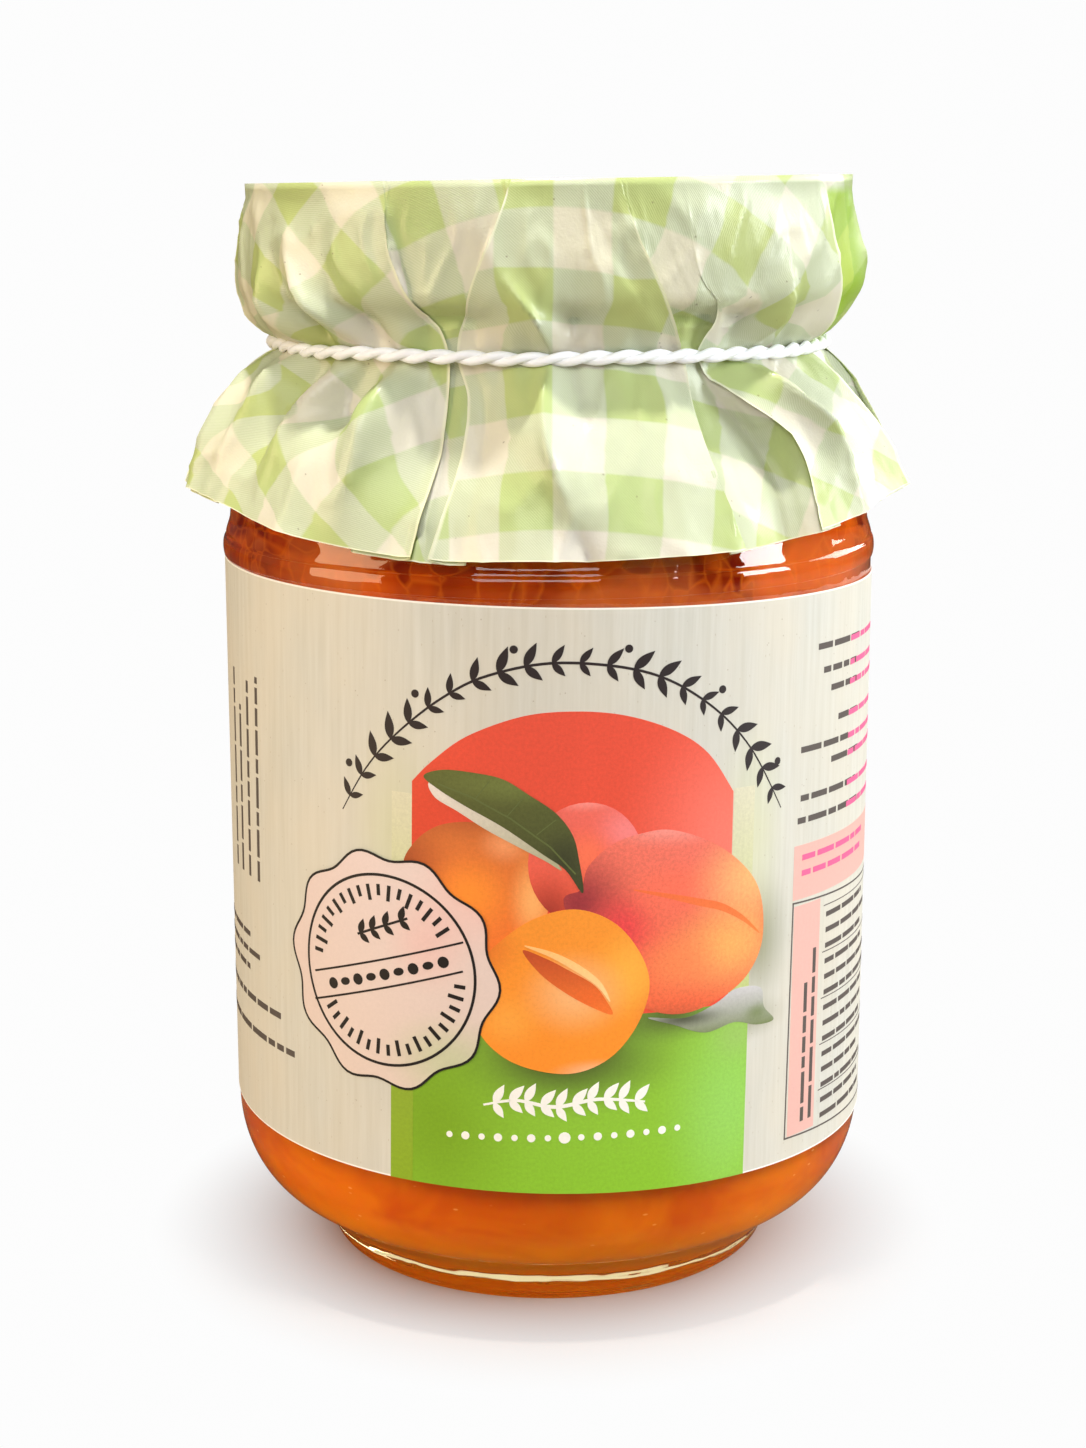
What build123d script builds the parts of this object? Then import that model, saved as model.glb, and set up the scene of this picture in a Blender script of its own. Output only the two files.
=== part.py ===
from build123d import *
from math import cos, pi, radians, sin
import os

# A jar of apricot jam: a glass jar with a foot, the jam in it, a twist-off lid, a sheet of
# printed paper gathered over the lid by a tied cord, and a paper label round the body.
# Millimetres. Z is up, the origin is the middle of the foot, and the label's front faces -Y.

# ---- Label -----------------------------------------------------------------------------
label_paper = 0.12
label_gap = 0.03            # to the glass
label_height = 61.4
label_seam = 4.0            # bare glass between its ends, at the back
label_tilt = 1.0            # degrees, the right-hand end lower

# ---- Glass jar, from the foot up -------------------------------------------------------
body_radius = 35.9          # outside of the straight wall
wall = 2.4                  # body and shoulder
punt_height = 1.8           # hollow under the foot
foot_width = 4.8            # the foot's ring, with the flat that the jar stands on
foot_round = 1.2
foot_height = 3.0
foot_inset = 2.6            # from the start of the corner in to the foot
corner_width = 8.0          # the quarter ellipse between the foot's flare and the wall
corner_drop = 11.0
body_bottom = 17.1          # where the straight wall starts
floor_height = 5.0          # inside floor of the jar
floor_corner = 10.5         # how far in from the inside wall the floor turns up
bead_gap = 0.1              # from the label's highest corner up to the bead
bead_bulge = 0.3
bead_height = 2.2
waist_inset = 0.55          # the slight waist over the bead
waist_rise = 2.4
shoulder_rise = 13.8        # from the waist up to the neck
neck_radius = 28.9
neck_wall = 2.4
neck_height = 7.0
finish_step = 1.5           # the mouth that takes the lid stands out of the neck by this
finish_height = 11.8
mouth_round = 0.8

# ---- Jam -------------------------------------------------------------------------------
jam_gap = 0.03              # to the glass
headspace = 10.0            # from the jam's surface to the mouth

# ---- Lid -------------------------------------------------------------------------------
lid_height = 11.0
lid_plate = 1.0             # sheet metal and its seal
lid_skirt = 0.5
lid_room = 1.5              # room for the thread, between the mouth and the skirt
lid_curl_radius = 0.7
lid_edge_round = 0.8

# ---- Tie cord --------------------------------------------------------------------------
cord_diameter = 1.35
cord_gap = 0.05             # to the paper
cord_rise = 4.8             # from the bottom of the neck up to the cord

# ---- Paper cover -----------------------------------------------------------------------
cover_paper = 0.5           # one layer with its creases
cover_gap = 0.1             # to the lid's side and to the glass neck
cover_edge = 0.6            # the worn edge round the top
drum_folds = 0.5            # how deep the gathers are over the lid
skirt_drop = 18.0           # from the cord down to the hem
skirt_levels = 7
skirt_swell = 0.62          # under 1: the skirt springs out under the cord, then hangs
hem_spread = 2.8            # from the glass body out to the hem
hem_folds = 1.6
ring_points = 84            # points round each ring of the gathered paper

# Sizes that follow from those above.
label_radius = body_radius + label_gap
label_top = body_bottom + label_height
label_rise = body_radius * sin(radians(label_tilt))
inner_radius = body_radius - wall
corner_radius = body_radius - corner_width
foot_radius = corner_radius - foot_inset
floor_radius = inner_radius - floor_corner
body_top = label_top + label_rise + bead_gap
bead_top = body_top + bead_height
waist_radius = body_radius - waist_inset
waist_top = bead_top + waist_rise
neck_bottom = waist_top + shoulder_rise
neck_top = neck_bottom + neck_height
bore_radius = neck_radius - neck_wall
finish_radius = neck_radius + finish_step
mouth_height = neck_top + finish_step + finish_height
inner_shoulder_bottom = waist_top - wall / 2
inner_neck_bottom = neck_bottom - wall / 2
jam_top = mouth_height - headspace
lid_radius = finish_radius + lid_room + lid_skirt
lid_top = mouth_height + lid_plate
lid_bottom = lid_top - lid_height
cord_height = neck_bottom + cord_rise
cover_top = lid_top + cover_paper
cover_radius = lid_radius + cover_gap + cover_paper
gather_radius = neck_radius + cover_gap + cover_paper
hem_radius = body_radius + hem_spread
cord_ring_radius = gather_radius + cord_gap + cord_diameter / 2


def inside_outline(gap, top):
    """The inside of the glass from the axis up to the height top, kept in by a gap."""
    floor = floor_height + gap
    radius = inner_radius - gap
    bore = bore_radius - gap
    rise = body_bottom - floor
    Line((0, floor), (floor_radius, floor))
    EllipticalCenterArc((floor_radius, body_bottom), floor_corner - gap, rise, -90, arc_size=90)
    Line((radius, body_bottom), (radius, inner_shoulder_bottom))
    Spline(
        (radius, inner_shoulder_bottom),
        (bore, inner_neck_bottom),
        tangents=[(0, 1), (0, 1)],
    )
    Line((bore, inner_neck_bottom), (bore, top))


def outside_outline():
    """The outside of the glass from the hollow under the foot up to the mouth."""
    rest_radius = foot_radius - foot_round
    hollow_radius = foot_radius - foot_width
    flare_top = body_bottom - corner_drop
    EllipticalCenterArc((0, 0), hollow_radius, punt_height, 90, arc_size=-90)
    Line((hollow_radius, 0), (rest_radius, 0))
    CenterArc((rest_radius, foot_round), foot_round, -90, 90)
    Line((foot_radius, foot_round), (foot_radius, foot_height))
    Line((foot_radius, foot_height), (corner_radius, flare_top))
    EllipticalCenterArc((corner_radius, body_bottom), corner_width, corner_drop, -90, arc_size=90)
    Line((body_radius, body_bottom), (body_radius, body_top))
    ThreePointArc(
        (body_radius, body_top),
        (body_radius + bead_bulge, body_top + bead_height / 2),
        (body_radius, bead_top),
    )
    Spline((body_radius, bead_top), (waist_radius, waist_top), tangents=[(-0.2, 1), (0, 1)])
    Spline((waist_radius, waist_top), (neck_radius, neck_bottom), tangents=[(0, 1), (0, 1)])
    Line((neck_radius, neck_bottom), (neck_radius, neck_top))
    Line((neck_radius, neck_top), (finish_radius, neck_top + finish_step))
    Line((finish_radius, neck_top + finish_step), (finish_radius, mouth_height - mouth_round))


with BuildPart() as glass_jar:
    with BuildSketch(Plane.XZ):
        with BuildLine():
            outside_outline()
            CenterArc((finish_radius - mouth_round, mouth_height - mouth_round), mouth_round, 0, 90)
            Line((finish_radius - mouth_round, mouth_height), (bore_radius + mouth_round, mouth_height))
            CenterArc((bore_radius + mouth_round, mouth_height - mouth_round), mouth_round, 90, 90)
            inside_outline(0, mouth_height - mouth_round)
            Line((0, floor_height), (0, punt_height))
        make_face()
    revolve(axis=Axis.Z)
glass_jar.part.label = "glass_jar"

with BuildPart() as jam:
    with BuildSketch(Plane.XZ):
        with BuildLine():
            inside_outline(jam_gap, jam_top)
            Line((bore_radius - jam_gap, jam_top), (0, jam_top))
            Line((0, jam_top), (0, floor_height + jam_gap))
        make_face()
    revolve(axis=Axis.Z)
jam.part.label = "jam"

with BuildPart() as lid:
    with BuildSketch(Plane.XZ):
        with BuildLine():
            Polyline(
                (0, mouth_height),
                (lid_radius - lid_skirt, mouth_height),
                (lid_radius - lid_skirt, lid_bottom + lid_curl_radius),
                (lid_radius, lid_bottom + lid_curl_radius),
                (lid_radius, lid_top - lid_edge_round),
            )
            CenterArc((lid_radius - lid_edge_round, lid_top - lid_edge_round), lid_edge_round, 0, 90)
            Polyline((lid_radius - lid_edge_round, lid_top), (0, lid_top), (0, mouth_height))
        make_face()
        with Locations((lid_radius - lid_curl_radius, lid_bottom + lid_curl_radius)):
            Circle(lid_curl_radius)
    revolve(axis=Axis.Z)
lid.part.label = "lid"


def fold_wave(angle):
    """The gathers of the paper at an angle round the jar, from -1 to 1, unevenly spaced."""
    return 0.6 * cos(9 * angle + 0.4) + 0.4 * cos(14 * angle + 1.9)


def cover_rings():
    """(height, radius, fold depth) of each ring of the gathered paper, from the hem up."""
    gather_low = cord_height - cord_diameter / 2
    gather_high = cord_height + cord_diameter / 2
    lid_edge = lid_bottom - cover_gap
    under_lid = lid_edge - (lid_edge - gather_high) / 3
    over_edge = (lid_edge + lid_top) / 2
    rings = []
    for level in range(skirt_levels):
        down = 1 - level / skirt_levels
        spread = (hem_radius - gather_radius) * down**skirt_swell
        rings.append((gather_low - skirt_drop * down, gather_radius + spread, hem_folds * down))
    rings.append((gather_low, gather_radius, 0))
    rings.append((gather_high, gather_radius, 0))
    rings.append((under_lid, cover_radius - drum_folds, drum_folds))
    rings.append((lid_edge, cover_radius + drum_folds, drum_folds))
    rings.append((over_edge, cover_radius + drum_folds / 2, drum_folds / 2))
    rings.append((lid_top - cover_edge / 2, cover_radius, 0))
    return rings


def ring_line(radius, depth):
    """Points of a closed curve round the jar with the gathers in it."""
    points = []
    for step in range(ring_points):
        angle = 2 * pi * step / ring_points
        reach = radius + depth * fold_wave(angle)
        points.append((reach * cos(angle), reach * sin(angle)))
    return points


outer_rings = cover_rings() + [(cover_top, cover_radius - cover_edge, 0)]
inner_rings = [(height, radius - cover_paper, depth) for height, radius, depth in cover_rings()]
inner_rings.append((lid_top, cover_radius - cover_paper, 0))

with BuildPart() as paper_cover:
    for height, radius, depth in outer_rings:
        with BuildSketch(Plane.XY.offset(height)):
            with BuildLine():
                Spline(ring_line(radius, depth), periodic=True)
            make_face()
    loft(ruled=True)
    for height, radius, depth in inner_rings:
        with BuildSketch(Plane.XY.offset(height)):
            with BuildLine():
                Spline(ring_line(radius, depth), periodic=True)
            make_face()
    loft(ruled=True, mode=Mode.SUBTRACT)
paper_cover.part.label = "paper_cover"

with BuildPart() as tie_cord:
    with BuildSketch(Plane.XZ):
        with Locations((cord_ring_radius, cord_height)):
            Circle(cord_diameter / 2)
    revolve(axis=Axis.Z)
tie_cord.part.label = "tie_cord"

with BuildPart() as label:
    seam_angle = label_seam / label_radius
    first_end = pi / 2 + seam_angle / 2
    outward = Vector(cos(first_end), sin(first_end), 0)
    end_plane = Plane(origin=(0, 0, 0), x_dir=outward, z_dir=outward.cross(Vector(0, 0, 1)))
    slope = Vector(sin(radians(label_tilt)), 0, cos(radians(label_tilt)))
    with BuildSketch(end_plane):
        with Locations((label_radius + label_paper / 2, (body_bottom + label_top) / 2)):
            Rectangle(label_paper, label_height + 3 * label_rise)
    revolve(axis=Axis.Z, revolution_arc=360 - seam_angle * 180 / pi)
    split(bisect_by=Plane(origin=(0, 0, body_bottom), z_dir=slope), keep=Keep.TOP)
    split(bisect_by=Plane(origin=(0, 0, label_top), z_dir=slope), keep=Keep.BOTTOM)
label.part.label = "label"

os.makedirs("parts", exist_ok=True)
for piece in (glass_jar, jam, lid, paper_cover, tie_cord, label):
    export_step(piece.part, f"parts/{piece.part.label}.step")
    print(piece.part.label, "volume", round(piece.part.volume / 1000, 1), "cm3")
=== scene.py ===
# %% [markdown]
# # A jar of apricot jam
# The real thing is a glass jar with a foot, full of jam, shut by a metal lid. A round sheet of
# printed waxed paper is gathered over the lid and tied under it with a white cord, and a paper
# label is wrapped round the glass. The CAD model of the jar is the fixed frame: each piece made
# here takes its place and size from it, so nothing has to be fitted afterwards.

# %% Load the frame
import random
from collections import namedtuple
from math import atan2, ceil, cos, degrees, exp, hypot, pi, radians, sin

import bmesh
import bpy
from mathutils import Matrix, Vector, noise


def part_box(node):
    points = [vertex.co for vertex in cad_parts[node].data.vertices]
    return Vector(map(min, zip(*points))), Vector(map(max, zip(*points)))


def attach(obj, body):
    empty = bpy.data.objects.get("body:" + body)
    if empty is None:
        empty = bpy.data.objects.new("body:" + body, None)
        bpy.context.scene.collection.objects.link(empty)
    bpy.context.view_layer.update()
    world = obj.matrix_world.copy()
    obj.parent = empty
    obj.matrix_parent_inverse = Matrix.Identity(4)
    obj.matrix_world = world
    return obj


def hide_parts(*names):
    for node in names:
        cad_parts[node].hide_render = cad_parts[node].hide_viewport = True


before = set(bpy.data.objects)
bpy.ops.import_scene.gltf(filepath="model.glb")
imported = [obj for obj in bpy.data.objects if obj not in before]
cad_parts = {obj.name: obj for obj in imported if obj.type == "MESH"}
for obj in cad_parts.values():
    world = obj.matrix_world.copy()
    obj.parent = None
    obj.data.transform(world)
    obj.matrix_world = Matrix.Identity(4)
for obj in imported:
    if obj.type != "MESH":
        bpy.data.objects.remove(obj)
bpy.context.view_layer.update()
SCENE = bpy.context.scene
MM = 0.001

# %% [markdown]
# ## Sizes
# A round piece is described by its radius and the heights of its two ends, and all three can be
# read from the CAD piece's box. Everything else, such as the curve of a shoulder, is set here by
# a named value in millimetres, because millimetres are what a jar maker thinks in.

# %% Sizes from the frame, in millimetres
def round_size(node):
    """Radius, lowest and highest point of a CAD node that is round about Z."""
    low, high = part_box(node)
    return (high[0] - low[0]) / 2 / MM, low[2] / MM, high[2] / MM


GLASS_RADIUS, _, GLASS_MOUTH = round_size("glass_jar")
_, JAM_FLOOR, JAM_TOP = round_size("jam")
LID_RADIUS, LID_EDGE, _ = round_size("lid")
CORD_RADIUS, CORD_LOW, CORD_HIGH = round_size("tie_cord")
LABEL_RADIUS, LABEL_LOW, LABEL_HIGH = round_size("label")
COVER_TOP = round_size("paper_cover")[2]
CORD_HEIGHT = (CORD_LOW + CORD_HIGH) / 2
CORD_DIAMETER = CORD_HIGH - CORD_LOW
LABEL_MIDDLE = (LABEL_LOW + LABEL_HIGH) / 2
print("label", round(LABEL_RADIUS, 2), "cord at", round(CORD_HEIGHT, 2), "top", round(COVER_TOP, 2))

# %% [markdown]
# ## Helpers for shapes
# Round pieces are turned like pottery: an outline is drawn on one side of the axis and spun
# round it. An outline could be a long list of points, but arcs and S-curves say the same with a
# few sizes, and they can be sampled as finely as the glass needs to look smooth.

# %% Outlines and turned pieces
def arc(center, radii, start, end, steps):
    """Points on part of an ellipse, from start to end degrees."""
    points = []
    for step in range(steps + 1):
        angle = radians(start + (end - start) * step / steps)
        points.append((center[0] + radii[0] * cos(angle), center[1] + radii[1] * sin(angle)))
    return points


def s_curve(low, high, steps):
    """An S between two points that starts and ends upright."""
    points = []
    for step in range(steps + 1):
        t = step / steps
        blend = t * t * (3 - 2 * t)
        points.append((low[0] + (high[0] - low[0]) * blend, low[1] + (high[1] - low[1]) * t))
    return points


def turned(outline, steps):
    """A mesh turned about Z from (radius, height) points in millimetres."""
    bm = bmesh.new()
    verts = [bm.verts.new((radius * MM, 0, height * MM)) for radius, height in outline]
    edges = [bm.edges.new(pair) for pair in zip(verts, verts[1:])]
    bmesh.ops.spin(
        bm, geom=verts + edges, cent=(0, 0, 0), axis=(0, 0, 1), angle=2 * pi, steps=steps, use_merge=True
    )
    bmesh.ops.remove_doubles(bm, verts=bm.verts, dist=1e-6)
    bmesh.ops.recalc_face_normals(bm, faces=bm.faces)
    return bm


def finished(name, bm, material, slot, *replaced):
    """Turn a bmesh into a smooth-shaded piece that rides on the jar."""
    mesh = bpy.data.meshes.new(name)
    bm.to_mesh(mesh)
    bm.free()
    mesh.materials.append(material)
    mesh.polygons.foreach_set("use_smooth", [True] * len(mesh.polygons))
    piece = bpy.data.objects.new(name, mesh)
    SCENE.collection.objects.link(piece)
    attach(piece, "root")
    if replaced:
        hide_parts(*replaced)
    print(name, len(mesh.polygons), "faces")
    return piece


# %% [markdown]
# ## Helpers for materials
# Colours are written as they are read off a screen, from 0 to 255, and shader sockets want linear
# light, so one helper turns one into the other. A second one adds a node and fills its sockets
# with values or links, which keeps each finish below to the few lines that say what it looks like.

# %% Colours and nodes
def colour(red, green, blue):
    """A screen colour as linear light."""
    def linear(value):
        part = value / 255
        return part / 12.92 if part <= 0.04045 else ((part + 0.055) / 1.055) ** 2.4
    return linear(red), linear(green), linear(blue), 1.0


class Finish:
    """A material with a Principled shader, and short ways to add nodes to it."""

    def __init__(self, name, base, roughness, **values):
        self.material = bpy.data.materials.new(name)
        self.material.use_nodes = True
        self.tree = self.material.node_tree
        self.shader = self.tree.nodes["Principled BSDF"]
        self.output = self.tree.nodes["Material Output"]
        self.set(self.shader, {"Base Color": base, "Roughness": roughness})
        self.set(self.shader, {key.replace("_", " "): value for key, value in values.items()})

    def set(self, node, inputs):
        for name, value in inputs.items():
            socket = node.inputs[name]
            if isinstance(value, bpy.types.NodeSocket):
                self.tree.links.new(value, socket)
            else:
                socket.default_value = value

    def add(self, kind, inputs, **settings):
        node = self.tree.nodes.new("ShaderNode" + kind)
        for name, value in settings.items():
            setattr(node, name, value)
        self.set(node, inputs)
        return node

    def math(self, operation, first, second=0.0, third=0.0):
        inputs = {0: first, 1: second, 2: third}
        return self.add("Math", inputs, operation=operation).outputs[0]

    def times(self, first, second):
        return self.math("MULTIPLY", first, second)

    def plus(self, first, second):
        return self.math("ADD", first, second)

    def off_middle(self, value):
        """How far a value is from one half."""
        return self.math("ABSOLUTE", self.math("SUBTRACT", value, 0.5))

    def mix(self, amount, first, second, blend="MIX"):
        node = self.add("Mix", {0: amount, 6: first, 7: second}, data_type="RGBA", blend_type=blend)
        return node.outputs[2]

    def over(self, base, value, low, high, amount, tint):
        """base with tint over it: by amount where value is low, by nothing where it is high."""
        return self.mix(self.band(value, low, high, amount, 0.0), base, tint)

    def mix_shaders(self, amount, first, second):
        return self.add("MixShader", {0: amount, 1: first, 2: second}).outputs[0]

    def scale(self, source, factors):
        """The coordinates of source with each axis multiplied."""
        node = self.add("Mapping", {"Vector": source, "Scale": factors}, vector_type="POINT")
        return node.outputs[0]

    def noise(self, where, scale, detail=2.0, rough=0.5, distortion=0.0):
        inputs = {"Vector": where, "Scale": scale, "Detail": detail, "Roughness": rough}
        inputs["Distortion"] = distortion
        return self.add("TexNoise", inputs).outputs["Fac"]

    def spots(self, where, scale, randomness=1.0):
        """Distance to the nearest of many scattered points."""
        inputs = {"Vector": where, "Scale": scale, "Randomness": randomness}
        return self.add("TexVoronoi", inputs).outputs["Distance"]

    def band(self, value, low, high, start=0.0, end=1.0):
        """Map value from low..high to start..end, held at both ends."""
        inputs = {0: value, 1: low, 2: high, 3: start, 4: end}
        return self.add("MapRange", inputs, clamp=True).outputs[0]

    def bump(self, height, strength, distance):
        node = self.add("Bump", {"Height": height, "Strength": strength, "Distance": distance})
        self.set(self.shader, {"Normal": node.outputs[0]})

    def object_place(self):
        return self.add("TexCoord", {}).outputs["Object"]

    def map_place(self):
        return self.add("UVMap", {}, uv_map="UVMap").outputs[0]

    def split(self, vector):
        return self.add("SeparateXYZ", {0: vector}).outputs


# %% [markdown]
# ## Camera
# The jar is looked at from lid height and slightly downwards, from near by, so the lid shows
# almost edge-on and the foot shows from above. The lens is a short telephoto, which keeps the
# sides of the jar nearly parallel.

# %% Camera
CAMERA_DISTANCE = 280.3
CAMERA_SIDE = -0.61
CAMERA_PITCH = 12.185
CAMERA_OVER_LID = 0.13
CAMERA_LENS = 62.58
SENSOR_WIDTH = 36

camera_data = bpy.data.cameras.new("camera")
camera_data.lens = CAMERA_LENS
camera_data.sensor_width = SENSOR_WIDTH
camera = bpy.data.objects.new("camera", camera_data)
camera_height = COVER_TOP + CAMERA_OVER_LID
camera.location = (CAMERA_SIDE * MM, -CAMERA_DISTANCE * MM, camera_height * MM)
camera.rotation_euler = (radians(90 - CAMERA_PITCH), 0, 0)
SCENE.collection.objects.link(camera)
SCENE.camera = camera
print("camera", CAMERA_DISTANCE, "mm in front, lens", CAMERA_LENS)

# %% [markdown]
# ## Light and floor
# A glossy jar shows its lights as reflections, so most of the lights are large soft panels, like
# windows and softboxes. A cool window stands to the right and a warm softbox to the left, which
# gives the label its warm side. Another window stands behind the jar on the right and shines
# through the paper's edge. The room in front and the ceiling are broad and weak. One small lamp
# nearly above the lid throws the lid's shadow on the paper skirt, and another far off makes the
# small glint on the shoulder. The world fills in evenly; in reflections it is darker, as a room
# is, so the jam keeps its depth behind the glass.

# %% Lights
PANELS = (
    # name, place in mm, width, height, watts, colour
    ("window_right", (430, -95, 190), 150, 170, 1.5, (0.93, 0.985, 1.0)),
    ("soft_left", (-440, -150, 125), 240, 260, 1.15, (1.0, 0.76, 0.45)),
    ("lamp_above", (5, -60, 470), 26, 26, 1.75, (1.0, 0.95, 0.84)),
    ("ceiling", (-60, 60, 520), 460, 460, 0.15, (1.0, 1.0, 1.0)),
    ("window_behind", (330, 270, 230), 240, 200, 1.0, (1.0, 0.99, 0.95)),
    ("room_front", (-30, -400, 330), 300, 220, 1.0, (1.0, 0.985, 0.97)),
    ("lamp_far", (330, -330, 260), 22, 16, 0.05, (1.0, 0.97, 0.95)),
)
AIM = Vector((0, 0, 60 * MM))
WORLD_FILL = 0.32
WORLD_MIRRORED = 0.06
WHITE = 0.98

for name, place, width, height, watts, tint in PANELS:
    panel = bpy.data.lights.new(name, "AREA")
    panel.shape = "RECTANGLE"
    panel.size = width * MM
    panel.size_y = height * MM
    panel.energy = watts
    panel.color = tint
    lamp = bpy.data.objects.new(name, panel)
    lamp.location = Vector(place) * MM
    lamp.rotation_euler = (AIM - lamp.location).to_track_quat("-Z", "Y").to_euler()
    SCENE.collection.objects.link(lamp)
print(len(PANELS), "lights")

# %% World
world = bpy.data.worlds.new("studio")
world.use_nodes = True
SCENE.world = world
sky_nodes = world.node_tree.nodes
sky_links = world.node_tree.links
rays = sky_nodes.new("ShaderNodeLightPath").outputs


def chosen(share, first, second):
    """A strength that goes from first to second as share goes from 0 to 1."""
    node = sky_nodes.new("ShaderNodeMapRange")
    sky_links.new(share, node.inputs[0])
    if isinstance(first, float):
        node.inputs[3].default_value = first
    else:
        sky_links.new(first, node.inputs[3])
    node.inputs[4].default_value = second
    return node.outputs[0]


seen = sky_nodes.new("ShaderNodeMath")
seen.operation = "MAXIMUM"
sky_links.new(rays["Is Camera Ray"], seen.inputs[0])
sky_links.new(rays["Is Transmission Ray"], seen.inputs[1])
lighting = chosen(rays["Is Glossy Ray"], WORLD_FILL, WORLD_MIRRORED)
sky = sky_nodes["Background"]
sky.inputs["Color"].default_value = (1, 1, 1, 1)
sky_links.new(chosen(seen.outputs[0], lighting, WHITE), sky.inputs["Strength"])
print("world fills with", WORLD_FILL, "and is seen as", WHITE)

# %% [markdown]
# The floor turns into plain white light away from the jar, so that only the soft shadow near the
# foot is left, fading outwards with no visible edge. Bounced light and reflections see the floor
# darker than it is, like the table top that a jar really stands on, so that the undersides of the
# folds stay in shade. Seen through the glass, the floor under the foot also carries an amber glow,
# because light that has come through the jam falls there.

# %% Floor
FLOOR_HALF = 1.5
FLOOR_COLOUR = (0.46, 0.405, 0.382, 1)
FLOOR_BOUNCED = (0.34, 0.28, 0.24, 1)
FLOOR_MIRRORED = (0.10, 0.07, 0.05, 1)
SHADOW_NEAR = 24 * MM
SHADOW_FAR = 47 * MM
SHADOW_FADE = 1.5
AMBER = (1.0, 0.52, 0.14, 1)
AMBER_NEAR = 18 * MM
AMBER_FAR = 30 * MM
THROUGH_JAM = 0.88

paving = Finish("white_floor", FLOOR_COLOUR, 0.7)
spot = paving.split(paving.object_place())
squares = paving.plus(paving.math("POWER", spot[0], 2), paving.math("POWER", spot[1], 2))
away = paving.math("SQRT", squares)
rays = paving.add("LightPath", {}).outputs
seen_through = rays["Is Transmission Ray"]
direct = paving.math("MAXIMUM", rays["Is Camera Ray"], seen_through)
bounced = paving.mix(rays["Is Glossy Ray"], FLOOR_BOUNCED, FLOOR_MIRRORED)
paving.set(paving.shader, {"Base Color": paving.mix(direct, bounced, FLOOR_COLOUR)})
remaining = paving.band(away, SHADOW_NEAR, SHADOW_FAR, 1.0, 0.0)
glow_share = paving.math("SUBTRACT", 1.0, paving.math("POWER", remaining, SHADOW_FADE))
glow = paving.add("Emission", {"Color": (1, 1, 1, 1), "Strength": WHITE}).outputs[0]
warm_glow = paving.add("Emission", {"Color": AMBER, "Strength": THROUGH_JAM}).outputs[0]
amber_share = paving.times(seen_through, paving.band(away, AMBER_NEAR, AMBER_FAR, 0.8, 0.0))
lit = paving.mix_shaders(amber_share, paving.shader.outputs[0], warm_glow)
paving.set(paving.output, {"Surface": paving.mix_shaders(paving.times(direct, glow_share), lit, glow)})

bm = bmesh.new()
bmesh.ops.create_grid(bm, x_segments=2, y_segments=2, size=FLOOR_HALF)
floor_mesh = bpy.data.meshes.new("floor")
bm.to_mesh(floor_mesh)
bm.free()
floor_mesh.materials.append(paving.material)
floor = bpy.data.objects.new("floor", floor_mesh)
SCENE.collection.objects.link(floor)
SCENE.view_settings.view_transform = "Standard"
print("floor", 2 * FLOOR_HALF, "m across")

# %% [markdown]
# ## The glass
# Pressed glass has rounded corners everywhere, a thick bottom and a shallow hollow under the
# foot. One closed outline, outside up and inside down, turned once, gives a wall of true
# thickness, and only a wall with two sides bends light as the real one does.

# %% Glass sizes and piece
WALL = 2.4
BODY_RADIUS = LABEL_RADIUS - 0.15
BODY_BOTTOM = 17.1
CORNER = (8.0, 11.0)
CORNER_RADIUS = BODY_RADIUS - CORNER[0]
FOOT_RADIUS = CORNER_RADIUS - 2.6
FOOT_ROUND = 1.2
FOOT_HOLLOW = FOOT_RADIUS - 4.8
PUNT = 1.8
BEAD_LOW = LABEL_HIGH + 0.1
BEAD_HEIGHT = 2.2
BEAD_RADIUS = GLASS_RADIUS
WAIST_HEIGHT = BEAD_LOW + BEAD_HEIGHT + 2.4
WAIST_RADIUS = BODY_RADIUS - 0.55
NECK_LOW = WAIST_HEIGHT + 13.8
NECK_HIGH = NECK_LOW + 7.0
NECK_RADIUS = 28.9
MOUTH_STEP = 1.5
MOUTH_RADIUS = NECK_RADIUS + MOUTH_STEP
BORE_RADIUS = NECK_RADIUS - WALL
INNER_RADIUS = BODY_RADIUS - WALL
FLOOR_HEIGHT = JAM_FLOOR
FLOOR_RADIUS = INNER_RADIUS - 10.5
LIP = 0.8
GLASS_STEPS = 192


def straight(radius, top):
    """Points up the straight wall, without its two ends."""
    return [(radius, BODY_BOTTOM + (top - BODY_BOTTOM) * step / 8) for step in range(1, 8)]


def inside_outline(grow):
    """The inside of the glass from the axis up to the neck, pushed into the wall by grow."""
    corner = (INNER_RADIUS - FLOOR_RADIUS + grow, BODY_BOTTOM - FLOOR_HEIGHT + grow)
    shoulder_low = WAIST_HEIGHT - WALL / 2
    neck = (BORE_RADIUS + grow, NECK_LOW - WALL / 2)
    outline = [(FLOOR_RADIUS * step / 6, FLOOR_HEIGHT - grow) for step in range(6)]
    outline += arc((FLOOR_RADIUS, BODY_BOTTOM), corner, -90, 0, 20)
    outline += straight(INNER_RADIUS + grow, shoulder_low)
    outline += s_curve((INNER_RADIUS + grow, shoulder_low), neck, 18)
    return outline


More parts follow.
